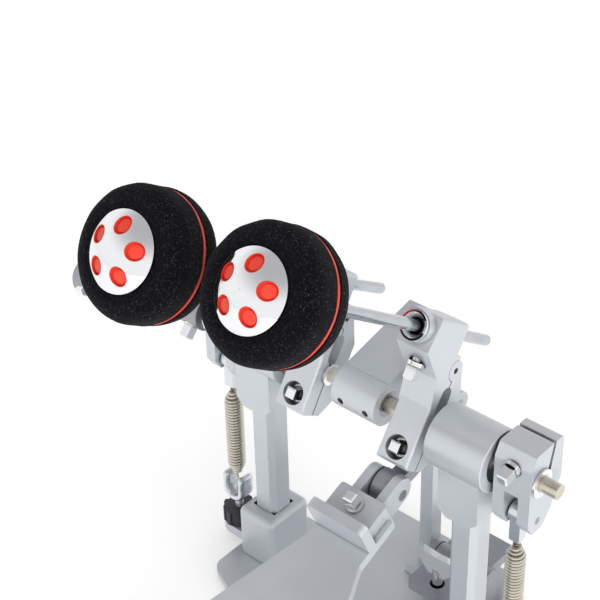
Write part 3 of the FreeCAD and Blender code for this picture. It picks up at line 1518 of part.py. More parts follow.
def hoop_jaw():
    body = new_body()
    half = jaw_plate / 2
    tail = jaw_tail - clamp_pivot_y
    lip = jaw_lip - clamp_pivot_y
    drop = -half - jaw_lip_drop
    side_view = [
        (tail, -half), (lip - jaw_lip_thick, -half), (lip - jaw_lip_thick, drop),
        (lip, drop), (lip, half), (tail, half),
    ]
    extrude(body, polygon(new_sketch(body, "YZ_Plane"), side_view), 2 * clamp_half, centred=True)
    ends = (float(tail), float(lip))
    upright = runs_along(Z_AXIS)
    dress(body, half, lambda edge: upright(edge) and any(near(middle(edge).y, end) for end in ends))
    knuckle_eye = circle(new_sketch(body, "YZ_Plane"), (0, 0), clamp_cheek_radius - side_gap)
    extrude(body, knuckle_eye, 2 * clamp_half, centred=True)
    drill(body, "YZ_Plane", (0, 0), clamp_pin_radius + pin_gap)
    drill(body, "XY_Plane", (0, thumb_y - clamp_pivot_y), thumb_radius + thumb_hole_gap)
    place(body, x=clamp_x, y=clamp_pivot_y, z=clamp_pivot_z)
    return keep(body, "hoop_jaw")


def hoop_screw():
    """A wing screw that pushes the jaw's tail up off the plate."""
    top = clamp_pivot_z + jaw_plate / 2 + thumb_neck
    body = new_body()
    revolve(body, polygon(new_sketch(body, "XZ_Plane"), rod(thumb_radius, floor_top + seat_gap, top)))
    wing = [
        (-thumb_radius, top - thumb_neck / 2), (thumb_radius, top - thumb_neck / 2),
        (thumb_wing, top + thumb_wing_high / 2), (thumb_wing, top + thumb_wing_high),
        (0, top + thumb_neck), (-thumb_wing, top + thumb_wing_high), (-thumb_wing, top + thumb_wing_high / 2),
    ]
    extrude(body, polygon(new_sketch(body, "XZ_Plane"), wing), thumb_wing_thick, centred=True)
    place(body, x=clamp_x, y=thumb_y)
    return keep(body, "hoop_screw")


hoop_bracket()
hoop_jaw()
hoop_screw()
hoop_pin_half = clamp_half + clamp_cheek + side_gap
hoop_pin = cross_pin(clamp_pin_radius, clamp_x, hoop_pin_half, clamp_pivot_y, clamp_pivot_z)
keep(hoop_pin, "hoop_pin")

doc.recompute()
failed = [item.Label for item in doc.Objects if {"Invalid", "Error"} & set(item.State)]
if failed:
    raise RuntimeError(f"failed objects: {failed}")
for label, piece in nodes.items():
    if piece.Shape.isNull() or not piece.Shape.isValid():
        raise RuntimeError(f"bad shape: {label}")
print(f"spring turns stay {least_self_gap():.2f} mm apart")
print(f"footboard slope {board_slope:.2f} degrees, drive link {link_length:.2f} mm")

os.makedirs("parts", exist_ok=True)
for label, piece in nodes.items():
    piece.Shape.exportStep(f"parts/{label}.step")
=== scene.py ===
import math

import bpy
import numpy as np
from bpy.props import FloatProperty, FloatVectorProperty, IntProperty, PointerProperty, StringProperty
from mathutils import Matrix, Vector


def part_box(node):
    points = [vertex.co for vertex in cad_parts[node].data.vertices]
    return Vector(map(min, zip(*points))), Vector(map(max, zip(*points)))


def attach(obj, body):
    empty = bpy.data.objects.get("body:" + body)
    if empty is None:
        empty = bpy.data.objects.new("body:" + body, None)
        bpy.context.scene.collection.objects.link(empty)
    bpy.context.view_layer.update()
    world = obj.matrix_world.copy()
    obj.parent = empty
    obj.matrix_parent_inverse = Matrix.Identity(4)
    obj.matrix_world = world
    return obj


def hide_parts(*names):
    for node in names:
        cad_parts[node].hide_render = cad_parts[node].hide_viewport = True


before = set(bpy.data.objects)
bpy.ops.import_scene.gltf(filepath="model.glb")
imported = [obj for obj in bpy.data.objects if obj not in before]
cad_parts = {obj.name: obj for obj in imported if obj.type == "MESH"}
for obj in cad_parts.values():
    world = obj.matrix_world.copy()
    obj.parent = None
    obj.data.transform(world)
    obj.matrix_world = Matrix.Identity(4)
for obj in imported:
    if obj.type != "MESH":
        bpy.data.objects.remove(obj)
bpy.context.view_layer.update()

bl_info = {
    "name": "Double bass drum pedal dress",
    "version": (1, 0, 0),
    "blender": (4, 5, 0),
    "location": "View3D > Sidebar > Pedal",
    "description": "Felt beaters, springs, finishes and studio for a double bass drum pedal",
    "category": "Object",
}

MM = 0.001
AXLE_HEIGHT = 152 * MM
LEANS = {"right": math.radians(55), "left": math.radians(58)}
HUB_X = 34 * MM
SHAFT_OFFSET = 46 * MM
REACHES = {"right": 151.5 * MM, "left": 152 * MM}
SPRING_X = 95.5 * MM
SIDES = {"right": 1, "left": -1}
SEEING_RAYS = ("Is Camera Ray", "Is Glossy Ray", "Is Transmission Ray")

NOISE_TURNS = (2, 15)  # waves round the wheel
NOISE_PITCHES = (40, 260)  # radians for each metre along the shaft
SHOULDER_POWER = 2 / 2.3  # superellipse of exponent 2.3
SHOULDER_STEPS = 26
WHEEL_STEPS = 180
FIRM_SHARE = 0.62  # share of the felt's radius that never swells
SWELL = 0.18 * MM
SWELL_WAVES = 24
WHEEL_SEEDS = {"right": 11, "left": 21}

FIBRE_SEEDS = {"right": 71, "left": 72}
FIBRE_STEPS = 5
FIBRE_SIDES = 3
FIBRE_LENGTHS = (0.3, 1.2)  # millimetres
FIBRE_BEND = 300  # most sideways run, in metres for each square metre of length
FIBRE_LIFT = 0.06 * MM
FIBRE_RADIUS = 0.04 * MM

CUP_STEPS = 40
CUP_WALL = 0.25 * MM
CUP_SINK = 0.06 * MM  # lip below the cap's sphere

TURN_STEPS = 40
LEAD_STEPS = 24
TAIL_STEPS = 6
WIRE_SIDES = 14
WIRE_OVERRUN = 0.45  # turns that each lead-in goes on

FORK_END_ANGLES = np.radians([80, 62, 42, 20])
PRONG_STEPS = 12
FORK_BEND_STEPS = 37
FORK_SIDES = 28
FORK_POWER = 2 / 3  # superellipse of exponent 3

FLOOR_REACH = 6.0
FLOOR_LINES = 9
FLOOR_GAP = 0.4 * MM
WHITE = (1, 1, 1, 1)
LAMPS = (  # name, place in metres, width in metres, power in watts
    ("front", (2.6, -2.86, 0.75), 2.4, 120),
    ("side", (3.2, -0.25, 0.7), 1.7, 26),
    ("top", (0, -0.4, 3.0), 2.0, 8),
)


def linear(code):
    """Linear RGBA of an sRGB hex colour: each channel c becomes ((c + 0.055) / 1.055) ** 2.4."""
    channels = np.array([int(code[index:index + 2], 16) for index in (1, 3, 5)]) / 255
    bright = ((channels + 0.055) / 1.055) ** 2.4
    return (*np.where(channels <= 0.04045, channels / 12.92, bright).tolist(), 1.0)


def add(tree, kind, settings=None, **links):
    """Add one shader node, set its values and sockets, and link its inputs; i0 is the first input."""
    made = tree.nodes.new(kind)
    for key, value in (settings or {}).items():
        if isinstance(key, int) or key in made.inputs:
            made.inputs[key].default_value = value
        else:
            setattr(made, key, value)
    for key, source in links.items():
        numbered = key[0] == "i" and key[1:].isdigit()
        socket = made.inputs[int(key[1:]) if numbered else key.replace("_", " ")]
        tree.links.new(source, socket)
    return made


def blank_material(name):
    """A new material with an empty tree and its Object coordinates."""
    material = bpy.data.materials.new(name)
    material.use_nodes = True
    material.node_tree.nodes.clear()
    where = add(material.node_tree, "ShaderNodeTexCoord").outputs["Object"]
    return material, material.node_tree, where


def close_material(tree, shader):
    add(tree, "ShaderNodeOutputMaterial", Surface=shader.outputs["BSDF"])


def per_metre(size_mm):
    """Texture scale at which one pattern period covers a real size."""
    return 1000 / size_mm


def noise(tree, where, size_mm, detail, rough):
    """Noise with features of one real size."""
    settings = {"Scale": per_metre(size_mm), "Detail": detail, "Roughness": rough}
    return add(tree, "ShaderNodeTexNoise", settings, Vector=where).outputs["Fac"]


def blend(tree, shade, colour, share):
    """A hex colour that goes from a shade to the full colour."""
    settings = {"data_type": "RGBA", 6: linear(shade), 7: linear(colour)}
    return add(tree, "ShaderNodeMix", settings, i0=share).outputs[2]


def spread(tree, value, low, high):
    """A 0 to 1 value spread between two others."""
    return add(tree, "ShaderNodeMapRange", {"To Min": low, "To Max": high}, Value=value).outputs["Result"]


def band(tree, value, low, high):
    """The part of a value between two others as 0 to 1."""
    return add(tree, "ShaderNodeMapRange", {"From Min": low, "From Max": high}, Value=value).outputs["Result"]


def painted_shade_openness(tree, low, high):
    """1 on open faces and 0 in gaps of a few millimetres; it masks the shade painted into gaps and corners."""
    shade = add(tree, "ShaderNodeAmbientOcclusion", {"samples": 8, "Distance": 4 * MM})
    return band(tree, shade.outputs["AO"], low, high)


def relief(tree, height, strength, depth_mm):
    """Surface normal of a fine relief of a real depth."""
    settings = {"Strength": strength, "Distance": depth_mm * MM}
    return add(tree, "ShaderNodeBump", settings, Height=height).outputs["Normal"]


def seen_or_mirrored(tree):
    """1 for rays that show a surface to the camera, straight, mirrored or through glass, and 0 for light."""
    path = add(tree, "ShaderNodeLightPath")
    seen = path.outputs[SEEING_RAYS[0]]
    for ray in SEEING_RAYS[1:]:
        either = add(tree, "ShaderNodeMath", {"operation": "MAXIMUM"}, i0=path.outputs[ray], i1=seen)
        seen = either.outputs["Value"]
    return seen


def cast_alloy(name, colour, shade, rough, grain_mm, depth_mm, metallic):
    """Blasted and lacquered alloy: pale satin grey with fine grit, cloudy tone and painted shade that darkens its
    slits and corners.
    """
    material, tree, where = blank_material(name)
    clouds = noise(tree, where, 22, 4.0, 0.55)
    tone = blend(tree, shade, colour, clouds)
    # painted shade: the tone darkens to #26282b in slits, recesses and corners, where shade falls
    shaded_tone = add(
        tree, "ShaderNodeMix", {"data_type": "RGBA", 6: linear("#26282b")},
        i0=painted_shade_openness(tree, 0.14, 0.7), i7=tone)
    grit = noise(tree, where, grain_mm, 3.0, 0.6)
    shader = add(
        tree, "ShaderNodeBsdfPrincipled", {"Metallic": metallic}, Base_Color=shaded_tone.outputs[2],
        Roughness=spread(tree, clouds, rough - 0.06, rough + 0.08), Normal=relief(tree, grit, 0.5, depth_mm))
    close_material(tree, shader)
    return material


def polished_plate(name, colour, rough, smear_mm):
    """Bright plate: mirror gloss with a faint polishing haze, and painted shade that darkens its corners."""
    material, tree, where = blank_material(name)
    haze = noise(tree, where, smear_mm, 5.0, 0.6)
    # painted shade: the colour darkens to #1c1d20 in corners and gaps, where shade falls
    shader = add(
        tree, "ShaderNodeBsdfPrincipled", {"Metallic": 1.0},
        Base_Color=blend(tree, "#1c1d20", colour, painted_shade_openness(tree, 0.3, 0.75)),
        Roughness=spread(tree, haze, rough, rough * 2.2))
    close_material(tree, shader)
    return material


def turned_metal(name, colour, shade, rough, groove_mm, axis):
    """Turned or drawn bar: fine rings or lines left by the tool, slightly darker in their grooves."""
    material, tree, where = blank_material(name)
    stretch = [0.06, 0.06, 0.06]
    stretch["XYZ".index(axis)] = 1.0
    drawn_out = add(tree, "ShaderNodeMapping", {"Scale": stretch}, Vector=where)
    lines = noise(tree, drawn_out.outputs["Vector"], groove_mm, 3.0, 0.5)
    shader = add(
        tree, "ShaderNodeBsdfPrincipled", {"Metallic": 1.0}, Base_Color=blend(tree, shade, colour, lines),
        Roughness=spread(tree, lines, rough - 0.05, rough + 0.1), Normal=relief(tree, lines, 0.25, 0.03))
    close_material(tree, shader)
    return material


def moulded(name, colour, shade, rough, grain_mm, depth_mm):
    """Moulded rubber or plastic: low gloss with a fine spark-eroded grain."""
    material, tree, where = blank_material(name)
    grain = noise(tree, where, grain_mm, 4.0, 0.6)
    shader = add(
        tree, "ShaderNodeBsdfPrincipled", Base_Color=blend(tree, shade, colour, grain),
        Roughness=spread(tree, grain, rough - 0.06, rough + 0.1), Normal=relief(tree, grain, 0.35, depth_mm))
    close_material(tree, shader)
    return material


def pressed_felt(name, colour, lint):
    """Dense pressed wool felt: matted short fibres, dusty where they stand up, with a soft sheen."""
    material, tree, where = blank_material(name)
    mat = noise(tree, where, 0.9, 6.0, 0.72)
    tufts = noise(tree, where, 4.5, 4.0, 0.6)
    heights = add(tree, "ShaderNodeMath", {"operation": "ADD"}, i0=mat, i1=tufts)
    shader = add(
        tree, "ShaderNodeBsdfPrincipled",
        {"Roughness": 0.95, "Sheen Weight": 0.03, "Sheen Roughness": 0.5, "Specular IOR Level": 0.1},
        Base_Color=blend(tree, colour, lint, band(tree, mat, 0.52, 0.74)),
        Normal=relief(tree, heights.outputs["Value"], 0.9, 0.5))
    close_material(tree, shader)
    return material


def paint_nodes(names, material):
    """Give nodes of the frame one material."""
    for name in names:
        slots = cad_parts[name].data.materials
        slots.clear()
        slots.append(material)


def zinc_plate(look):
    return polished_plate("bright zinc plate", look.zinc, rough=0.16, smear_mm=6)


def grid_faces(rows, columns, wrap_rows, wrap_columns):
    """Quads of a rows by columns grid; a wrapped direction joins its last line to its first."""
    down = np.arange(rows if wrap_rows else rows - 1)
    across = np.arange(columns if wrap_columns else columns - 1)
    first, second = np.meshgrid(down, across, indexing="ij")
    below = (first + 1) % rows
    beside = (second + 1) % columns
    corners = [(first, second), (first, beside), (below, beside), (below, second)]
    return np.stack([row * columns + column for row, column in corners], axis=-1).reshape(-1, 4)


def tube_faces(rows, columns, start=0):
    """Faces of a grid that is wrapped across and closed by one flat face at each end."""
    last = start + (rows - 1) * columns
    faces = (grid_faces(rows, columns, False, True) + start).tolist()
    faces.append(list(range(start, start + columns))[::-1])
    faces.append(list(range(last, last + columns)))
    return faces


def mesh_piece(name, points, faces, material, body):
    """Put vertex and face arrays into one smooth object that rides on a body."""
    mesh = bpy.data.meshes.new(name)
    mesh.from_pydata(points.reshape(-1, 3).tolist(), [], faces)
    mesh.shade_smooth()
    mesh.materials.append(material)
    piece = bpy.data.objects.new(name, mesh)
    bpy.context.scene.collection.objects.link(piece)
    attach(piece, body)
    return piece


def beater_to_row(points, side):
    """Turn points of the beater's own frame, z along its shaft, into the row frame."""
    lean = LEANS[side]
    up = np.array([0, math.cos(lean), math.sin(lean)])
    along = np.array([0, -math.sin(lean), math.cos(lean)])
    foot = np.array([SIDES[side] * HUB_X, 0, AXLE_HEIGHT]) + up * SHAFT_OFFSET
    across = np.array([1.0, 0, 0])
    return foot + points[..., :1] * across + points[..., 1:2] * up + points[..., 2:] * along


def soft_noise(theta, height, seed, waves):
    """A smooth uneven field: a sum of cosines with seeded whole-number turns and phases, about -1 to 1."""
    rng = np.random.default_rng(seed)
    turns = rng.integers(*NOISE_TURNS, waves)
    pitch = rng.uniform(*NOISE_PITCHES, waves)
    phase = rng.uniform(0, 2 * math.pi, waves)
    waves_sum = np.cos(theta[..., None] * turns + height[..., None] * pitch + phase).sum(axis=-1)
    return waves_sum / math.sqrt(waves)


def felt_profile(inner, outer, start, end, crown):
    """Closed half section of a felt ring.

    It has flat inner faces, a small lip, a wall and a superellipse shoulder of exponent 2.3.
    """
    sign = 1 if end > start else -1
    turn = np.linspace(0, math.pi / 2, SHOULDER_STEPS)[::-1]
    shoulder_r = outer - crown + crown * np.sin(turn) ** SHOULDER_POWER
    shoulder_z = end - sign * crown + sign * crown * np.cos(turn) ** SHOULDER_POWER
    lower = np.array([[inner, start], [(inner + outer) / 2, start], [outer - 0.8 * MM, start]])
    lip = np.array([[outer - 0.15 * MM, start + sign * 0.3 * MM], [outer, start + sign * 1.2 * MM]])
    front = np.array([[outer - crown, end], [inner, end]])
    return np.vstack([lower, lip, np.stack([shoulder_r, shoulder_z], axis=-1), front])


def felt_halves(soft):
    """Half sections of a wheel's front and back ring, each with the sign of its side."""
    for sign, end, crown in ((1, soft.front, soft.front_crown), (-1, soft.back, soft.back_crown)):
        yield sign, felt_profile(soft.inner, soft.outer, sign * soft.ring_half, sign * end, crown)


def felt_swell(soft, radius, height, theta, seed):
    """Uneven growth of the felt, up to 0.35 mm at its outside and none near its core."""
    firm = soft.outer * FIRM_SHARE
    loose = np.clip((radius - firm) / (soft.outer - firm), 0, 1)
    front = soft_noise(theta, height, seed + 1, SWELL_WAVES)
    back = soft_noise(theta, height, seed - 1, SWELL_WAVES)
    return SWELL * np.where(height > 0, front, back) * loose


class PedalFelt(bpy.types.PropertyGroup):
    """Sizes and colours of the beaters' soft parts."""
    outer: FloatProperty(
        name="Felt radius", description="Radius of the felt wheel", default=30.4 * MM, unit="LENGTH")
    inner: FloatProperty(
        name="Core radius", description="Radius of the hole in the felt", default=11.02 * MM, unit="LENGTH")
    front: FloatProperty(
        name="Front", description="Ring to the wheel's front", default=17.2 * MM, unit="LENGTH")
    back: FloatProperty(name="Back", description="Ring to the wheel's back", default=16.5 * MM, unit="LENGTH")
    front_crown: FloatProperty(
        name="Front crown", description="Reach of the front shoulder", default=9 * MM, unit="LENGTH")
    back_crown: FloatProperty(
        name="Back crown", description="Reach of the back shoulder", default=15 * MM, unit="LENGTH")
    ring_half: FloatProperty(
        name="Ring half width", description="Half the red ring's width", default=0.7 * MM, unit="LENGTH")
    fibres: IntProperty(name="Loose fibres", description="Count of loose fibres on each wheel", default=1000)
    felt: StringProperty(name="Felt", description="Colour of the felt", default="#09090d")
    dust: StringProperty(name="Dust", description="Colour of the raised fibres", default="#393940")
    lint: StringProperty(name="Lint", description="Colour of the loose fibres", default="#7a7b82")
    red: StringProperty(name="Red", description="Colour of the elastomer", default="#ea4531")
    deep_red: StringProperty(name="Deep red", description="Shade of the elastomer", default="#da3723")


class PedalCup(bpy.types.PropertyGroup):
    """Sizes of the caps' domes and of the red cups in their holes."""
    dome_radius: FloatProperty(
        name="Dome radius", description="Radius of the cap", default=18.2 * MM, unit="LENGTH")
    dome_height: FloatProperty(
        name="Dome height", description="Cap's foot to its crown", default=8.5 * MM, unit="LENGTH")
    dome_rim: FloatProperty(
        name="Dome rim", description="Height of the cap's rim", default=1.6 * MM, unit="LENGTH")
    circle: FloatProperty(
        name="Hole circle", description="Cap's middle to each hole", default=11.4 * MM, unit="LENGTH")
    radius: FloatProperty(
        name="Cup radius", description="Outer radius of a cup", default=4.16 * MM, unit="LENGTH")
    depth: FloatProperty(
        name="Cup depth", description="Depth of a cup's floor", default=1.9 * MM, unit="LENGTH")
    count: IntProperty(name="Cups", description="Number of cups in each cap", default=5)


class PedalMetal(bpy.types.PropertyGroup):
    """Colours of the metal, plastic and rubber parts."""
    casting: StringProperty(name="Casting", description="Colour of the lacquered castings", default="#d1d5d9")
    casting_shade: StringProperty(name="Casting shade", description="Shade of the castings", default="#c4c9ce")
    post: StringProperty(name="Post", description="Colour of the posts", default="#d1d5d9")
    chrome: StringProperty(name="Chrome", description="Colour of the chrome plate", default="#eff0f2")
    shaft: StringProperty(name="Shaft", description="Colour of the beater shafts", default="#cdd1d6")
    zinc: StringProperty(name="Zinc", description="Colour of the zinc plate", default="#dde1e6")
    black: StringProperty(name="Black steel", description="Colour of the set screws", default="#19191b")
    steel: StringProperty(name="Steel", description="Colour of the plain steel parts", default="#b4b5b8")
    axle: StringProperty(name="Axle", description="Colour of the nickelled axles", default="#eae3d1")
    spring: StringProperty(name="Spring", description="Colour of the springs", default="#e6e0d2")
    dark: StringProperty(name="Dark metal", description="Colour of the dark link", default="#a3a6ad")
    plastic: StringProperty(name="Plastic", description="Colour of the knobs", default="#3a3a3f")
    rubber: StringProperty(name="Rubber", description="Colour of the floor mat", default="#161616")


class PedalSpring(bpy.types.PropertyGroup):
    """Sizes of the return springs."""
    turns: IntProperty(name="Turns", description="Number of turns", default=28)
    taper: FloatProperty(
        name="Taper", description="Length of the narrowing ends", default=6 * MM, unit="LENGTH")
    radius: FloatProperty(
        name="Coil radius", description="Radius to the wire's middle", default=4.4 * MM, unit="LENGTH")
    wire: FloatProperty(name="Wire radius", description="Radius of the wire", default=0.85 * MM, unit="LENGTH")
    low: FloatProperty(name="Coil foot", description="Height of the first turn", default=49 * MM, unit="LENGTH")
    high: FloatProperty(
        name="Coil head", description="Height of the last turn", default=105 * MM, unit="LENGTH")
    foot: FloatProperty(
        name="Lower end", description="Height of the wire's lower end", default=35 * MM, unit="LENGTH")
    head: FloatProperty(
        name="Upper end", description="Height of the wire's upper end", default=113 * MM, unit="LENGTH")


class PedalFork(bpy.types.PropertyGroup):
    """Sizes of the forks that hold the springs' lower ends."""
    prong: FloatProperty(
        name="Prong", description="Fork's middle to a prong's middle", default=5.7 * MM, unit="LENGTH")
    thick: FloatProperty(
        name="Half thickness", description="Half a prong's thickness", default=2.1 * MM, unit="LENGTH")
    depth: FloatProperty(
        name="Half depth", description="Half the fork's depth", default=5.4 * MM, unit="LENGTH")
    top: FloatProperty(
        name="Prong top", description="Height where a prong's round end starts", default=45 * MM, unit="LENGTH")
    bend: FloatProperty(
        name="Bend", description="Height where a prong starts to bend", default=37 * MM, unit="LENGTH")
    base: FloatProperty(
        name="Base", description="Height of the bar's middle below", default=30.6 * MM, unit="LENGTH")
    stem: FloatProperty(
        name="Stem radius", description="Radius of the threaded stem", default=2.6 * MM, unit="LENGTH")
    pitch: FloatProperty(name="Pitch", description="Pitch of the stem's thread", default=1 * MM, unit="LENGTH")


class PedalStage(bpy.types.PropertyGroup):
    """Camera and studio."""
    azimuth: FloatProperty(
        name="Azimuth", description="Camera's turn about the upright", default=math.radians(40), subtype="ANGLE")
    elevation: FloatProperty(
        name="Elevation", description="Camera's height angle", default=math.radians(33.55), subtype="ANGLE")
    distance: FloatProperty(name="Distance", description="Camera to target", default=752 * MM, unit="LENGTH")
    target: FloatVectorProperty(
        name="Target", description="Point that the camera faces", default=(-3.2 * MM, 0, 221.7 * MM))
    lens: FloatProperty(name="Lens", description="Focal length in millimetres", default=94.1)
    shift: FloatVectorProperty(name="Shift", description="Lens shift", size=2, default=(-0.102, -0.042))
    floor: StringProperty(name="Floor", description="Colour of the floor", default="#f4f4f4")
    glow: FloatProperty(
        name="Floor glow", description="White that the floor adds where it is seen", default=0.4)


CAST_NODES = (
    "right_post_socket", "left_post_socket", "right_bearing_housing", "left_bearing_housing",
    "centre_bearing_block", "heel_plate", "right_front_jaw", "right_back_jaw", "left_front_jaw",
    "left_back_jaw", "right_rocker", "left_rocker", "footboard", "footboard_nose",
)
POST_NODES = ("right_post", "left_post", "centre_post", "base_plate")
CHROME_NODES = (
    "base_bolts", "right_shaft_bush", "left_shaft_bush", "right_key_bolts", "left_key_bolts", "right_beater_cap",
    "left_beater_cap", "nose_bolt", "socket_key_bolt", "hoop_screw", "right_axle_washer", "left_axle_ring",
)
ZINC_NODES = ("right_spring_hook", "left_spring_hook")
SHAFT_NODES = ("right_beater_shaft", "left_beater_shaft")
STEEL_NODES = (
    "axle_bearings", "heel_hinge_pin", "hoop_pin", "right_pins", "left_pins", "inner_yoke", "fork_pin",
    "joint_cross", "outer_yoke",
)
AXLE_NODES = ("main_axle", "left_axle")
DARK_NODES = ("drive_link", "hoop_bracket", "hoop_jaw")
SET_SCREW_NODES = ("set_screws",)
KNOB_NODES = ("right_tension_knob", "left_tension_knob")
MAT_NODES = ("rubber_mat",)
CORE_NODES = ("right_beater_core", "left_beater_core")


class PEDAL_OT_castings(bpy.types.Operator):
    """Finish the cast and lacquered parts"""
    bl_idname = "pedal.castings"
    bl_label = "Castings"

    def execute(self, context):
        look = context.scene.pedal_metal
        paint_nodes(CAST_NODES, cast_alloy(
            "lacquered cast alloy", look.casting, look.casting_shade,
            rough=0.36, grain_mm=0.55, depth_mm=0.05, metallic=0.5))
        paint_nodes(POST_NODES, cast_alloy(
            "lacquered drawn alloy", look.post, look.casting_shade,
            rough=0.34, grain_mm=0.8, depth_mm=0.03, metallic=0.5))
        return {"FINISHED"}


class PEDAL_OT_bright_parts(bpy.types.Operator):
    """Finish the chromed, turned and dark metal parts"""
    bl_idname = "pedal.bright_parts"
    bl_label = "Bright and dark metal"

    def execute(self, context):
        look = context.scene.pedal_metal
        paint_nodes(CHROME_NODES, polished_plate("chromium plate", look.chrome, rough=0.05, smear_mm=9))
        paint_nodes(ZINC_NODES, zinc_plate(look))
        paint_nodes(SET_SCREW_NODES, moulded(
            "blackened steel", look.black, "#101012", rough=0.5, grain_mm=0.5, depth_mm=0.02))
        paint_nodes(SHAFT_NODES, turned_metal(
            "ground chromed bar", look.shaft, "#a9adb3", rough=0.14, groove_mm=0.5, axis="X"))
        paint_nodes(STEEL_NODES, turned_metal(
            "turned steel", look.steel, "#8f9094", rough=0.3, groove_mm=0.6, axis="X"))
        paint_nodes(AXLE_NODES, turned_metal(
            "nickelled axle steel", look.axle, "#bfb8a7", rough=0.28, groove_mm=0.7, axis="X"))
        paint_nodes(DARK_NODES, cast_alloy(
            "phosphated steel", look.dark, "#8c8f96", rough=0.38, grain_mm=0.5, depth_mm=0.04, metallic=0.45))
        return {"FINISHED"}


class PEDAL_OT_mouldings(bpy.types.Operator):
    """Finish the rubber mat, the knobs and the red cores"""
    bl_idname = "pedal.mouldings"
    bl_label = "Mouldings"

    def execute(self, context):
        look = context.scene.pedal_metal
        soft = context.scene.pedal_felt
        paint_nodes(KNOB_NODES, moulded(
            "moulded nylon", look.plastic, "#2d2d31", rough=0.45, grain_mm=0.6, depth_mm=0.04))
        paint_nodes(MAT_NODES, moulded(
            "moulded floor rubber", look.rubber, "#0e0e0e", rough=0.8, grain_mm=1.2, depth_mm=0.15))
        paint_nodes(CORE_NODES, moulded(
            "cast red elastomer", soft.red, soft.deep_red, rough=0.42, grain_mm=1.5, depth_mm=0.03))
        return {"FINISHED"}


class PEDAL_OT_felts(bpy.types.Operator):
    """Make each beater's felt wheel and its loose fibres"""
    bl_idname = "pedal.felts"
    bl_label = "Felt wheels"

    def wheel(self, soft, side):
        """Both felt rings of one wheel.

        Each is its half section turned about the shaft, swollen by a smooth seeded field of up to 0.35 mm.
        """
        turns = np.linspace(0, 2 * math.pi, WHEEL_STEPS, endpoint=False)
        parts, faces = [], []
        for sign, section in felt_halves(soft):
            radius = np.repeat(section[:, :1], len(turns), axis=1)
            height = np.repeat(section[:, 1:], len(turns), axis=1)
            theta = np.repeat(turns[None, :], len(section), axis=0)
            radius = radius + felt_swell(soft, radius, height, theta, WHEEL_SEEDS[side])
            points = np.stack([radius * np.cos(theta), radius * np.sin(theta), REACHES[side] + height], axis=-1)
            quads = grid_faces(len(section), len(turns), True, True)[:, ::sign]
            faces.append(quads + sum(len(part) for part in parts))
            parts.append(beater_to_row(points, side).reshape(-1, 3))
        return np.vstack(parts), np.vstack(faces)

    def fibres(self, soft, side):
        """Loose fibres: short arcs on the wheel, each a thin three-sided tube of seeded place and turn.

        A fibre's middle is a seeded length along the wheel's whole section and a seeded turn about its shaft.
        """
        rng = np.random.default_rng(FIBRE_SEEDS[side])
        count, steps, sides = soft.fibres, FIBRE_STEPS, FIBRE_SIDES
        front, back = (section[4:-1] for _, section in felt_halves(soft))
        section = np.vstack([back[::-1], front])
        section = section[np.append(True, np.linalg.norm(np.diff(section, axis=0), axis=1) > 0.001 * MM)]
        run = np.concatenate([[0], np.cumsum(np.linalg.norm(np.diff(section, axis=0), axis=1))])
        theta = rng.uniform(0, 2 * math.pi, (count, 1))
        level = rng.uniform(0.02 * run[-1], 0.98 * run[-1], (count, 1))
        heading = rng.uniform(0, 2 * math.pi, (count, 1))
        length = rng.uniform(*FIBRE_LENGTHS, (count, 1)) * MM
        along = np.linspace(-0.5, 0.5, steps)[None, :] * length
        bend = rng.uniform(-FIBRE_BEND, FIBRE_BEND, (count, 1)) * along ** 2
        place = level + along * np.cos(heading) - bend * np.sin(heading)
        turn = theta + (along * np.sin(heading) + bend * np.cos(heading)) / soft.outer
        radius, height = (np.interp(place, run, column) for column in section.T)
        out_slope, up_slope = (np.interp(place, run, column) for column in np.gradient(section, run, axis=0).T)
        radius = radius + felt_swell(soft, radius, height, turn, WHEEL_SEEDS[side]) + FIBRE_LIFT * up_slope
        height = height - FIBRE_LIFT * out_slope
        spine = np.stack([radius * np.cos(turn), radius * np.sin(turn), REACHES[side] + height], axis=-1)
        spin = np.linspace(0, 2 * math.pi, sides, endpoint=False)
        out = np.stack([np.cos(turn), np.sin(turn), np.zeros_like(turn)], axis=-1)
        ahead = np.gradient(spine, axis=1)
        ahead /= np.linalg.norm(ahead, axis=-1, keepdims=True)
        aside = np.cross(ahead, out)
        ring = out[:, :, None] * np.cos(spin)[:, None] + aside[:, :, None] * np.sin(spin)[:, None]
        tubes = spine[:, :, None] + FIBRE_RADIUS * ring
        quads = grid_faces(steps, sides, False, True)
        start = np.arange(count)[:, None, None] * steps * sides
        ends = np.array([[2, 1, 0], [0, 1, 2]]) + np.array([[0], [(steps - 1) * sides]])
        faces = (quads + start).reshape(-1, 4).tolist() + (ends + start).reshape(-1, 3).tolist()
        return beater_to_row(tubes, side).reshape(-1, 3), faces

    def execute(self, context):
        soft = context.scene.pedal_felt
        felt = pressed_felt("pressed wool felt", soft.felt, soft.dust)
        lint = moulded("loose wool fibre", soft.lint, "#6f7077", rough=0.9, grain_mm=0.5, depth_mm=0.01)
        for side in SIDES:
            points, faces = self.wheel(soft, side)
            wheel = mesh_piece(f"{side}_felt_wheel", points, faces.tolist(), felt, f"{side}_beater")
            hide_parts(f"{side}_beater_felt")
            points, faces = self.fibres(soft, side)
            mesh_piece(f"{side}_felt_lint", points, faces, lint, f"{side}_beater")
        return {"FINISHED"}


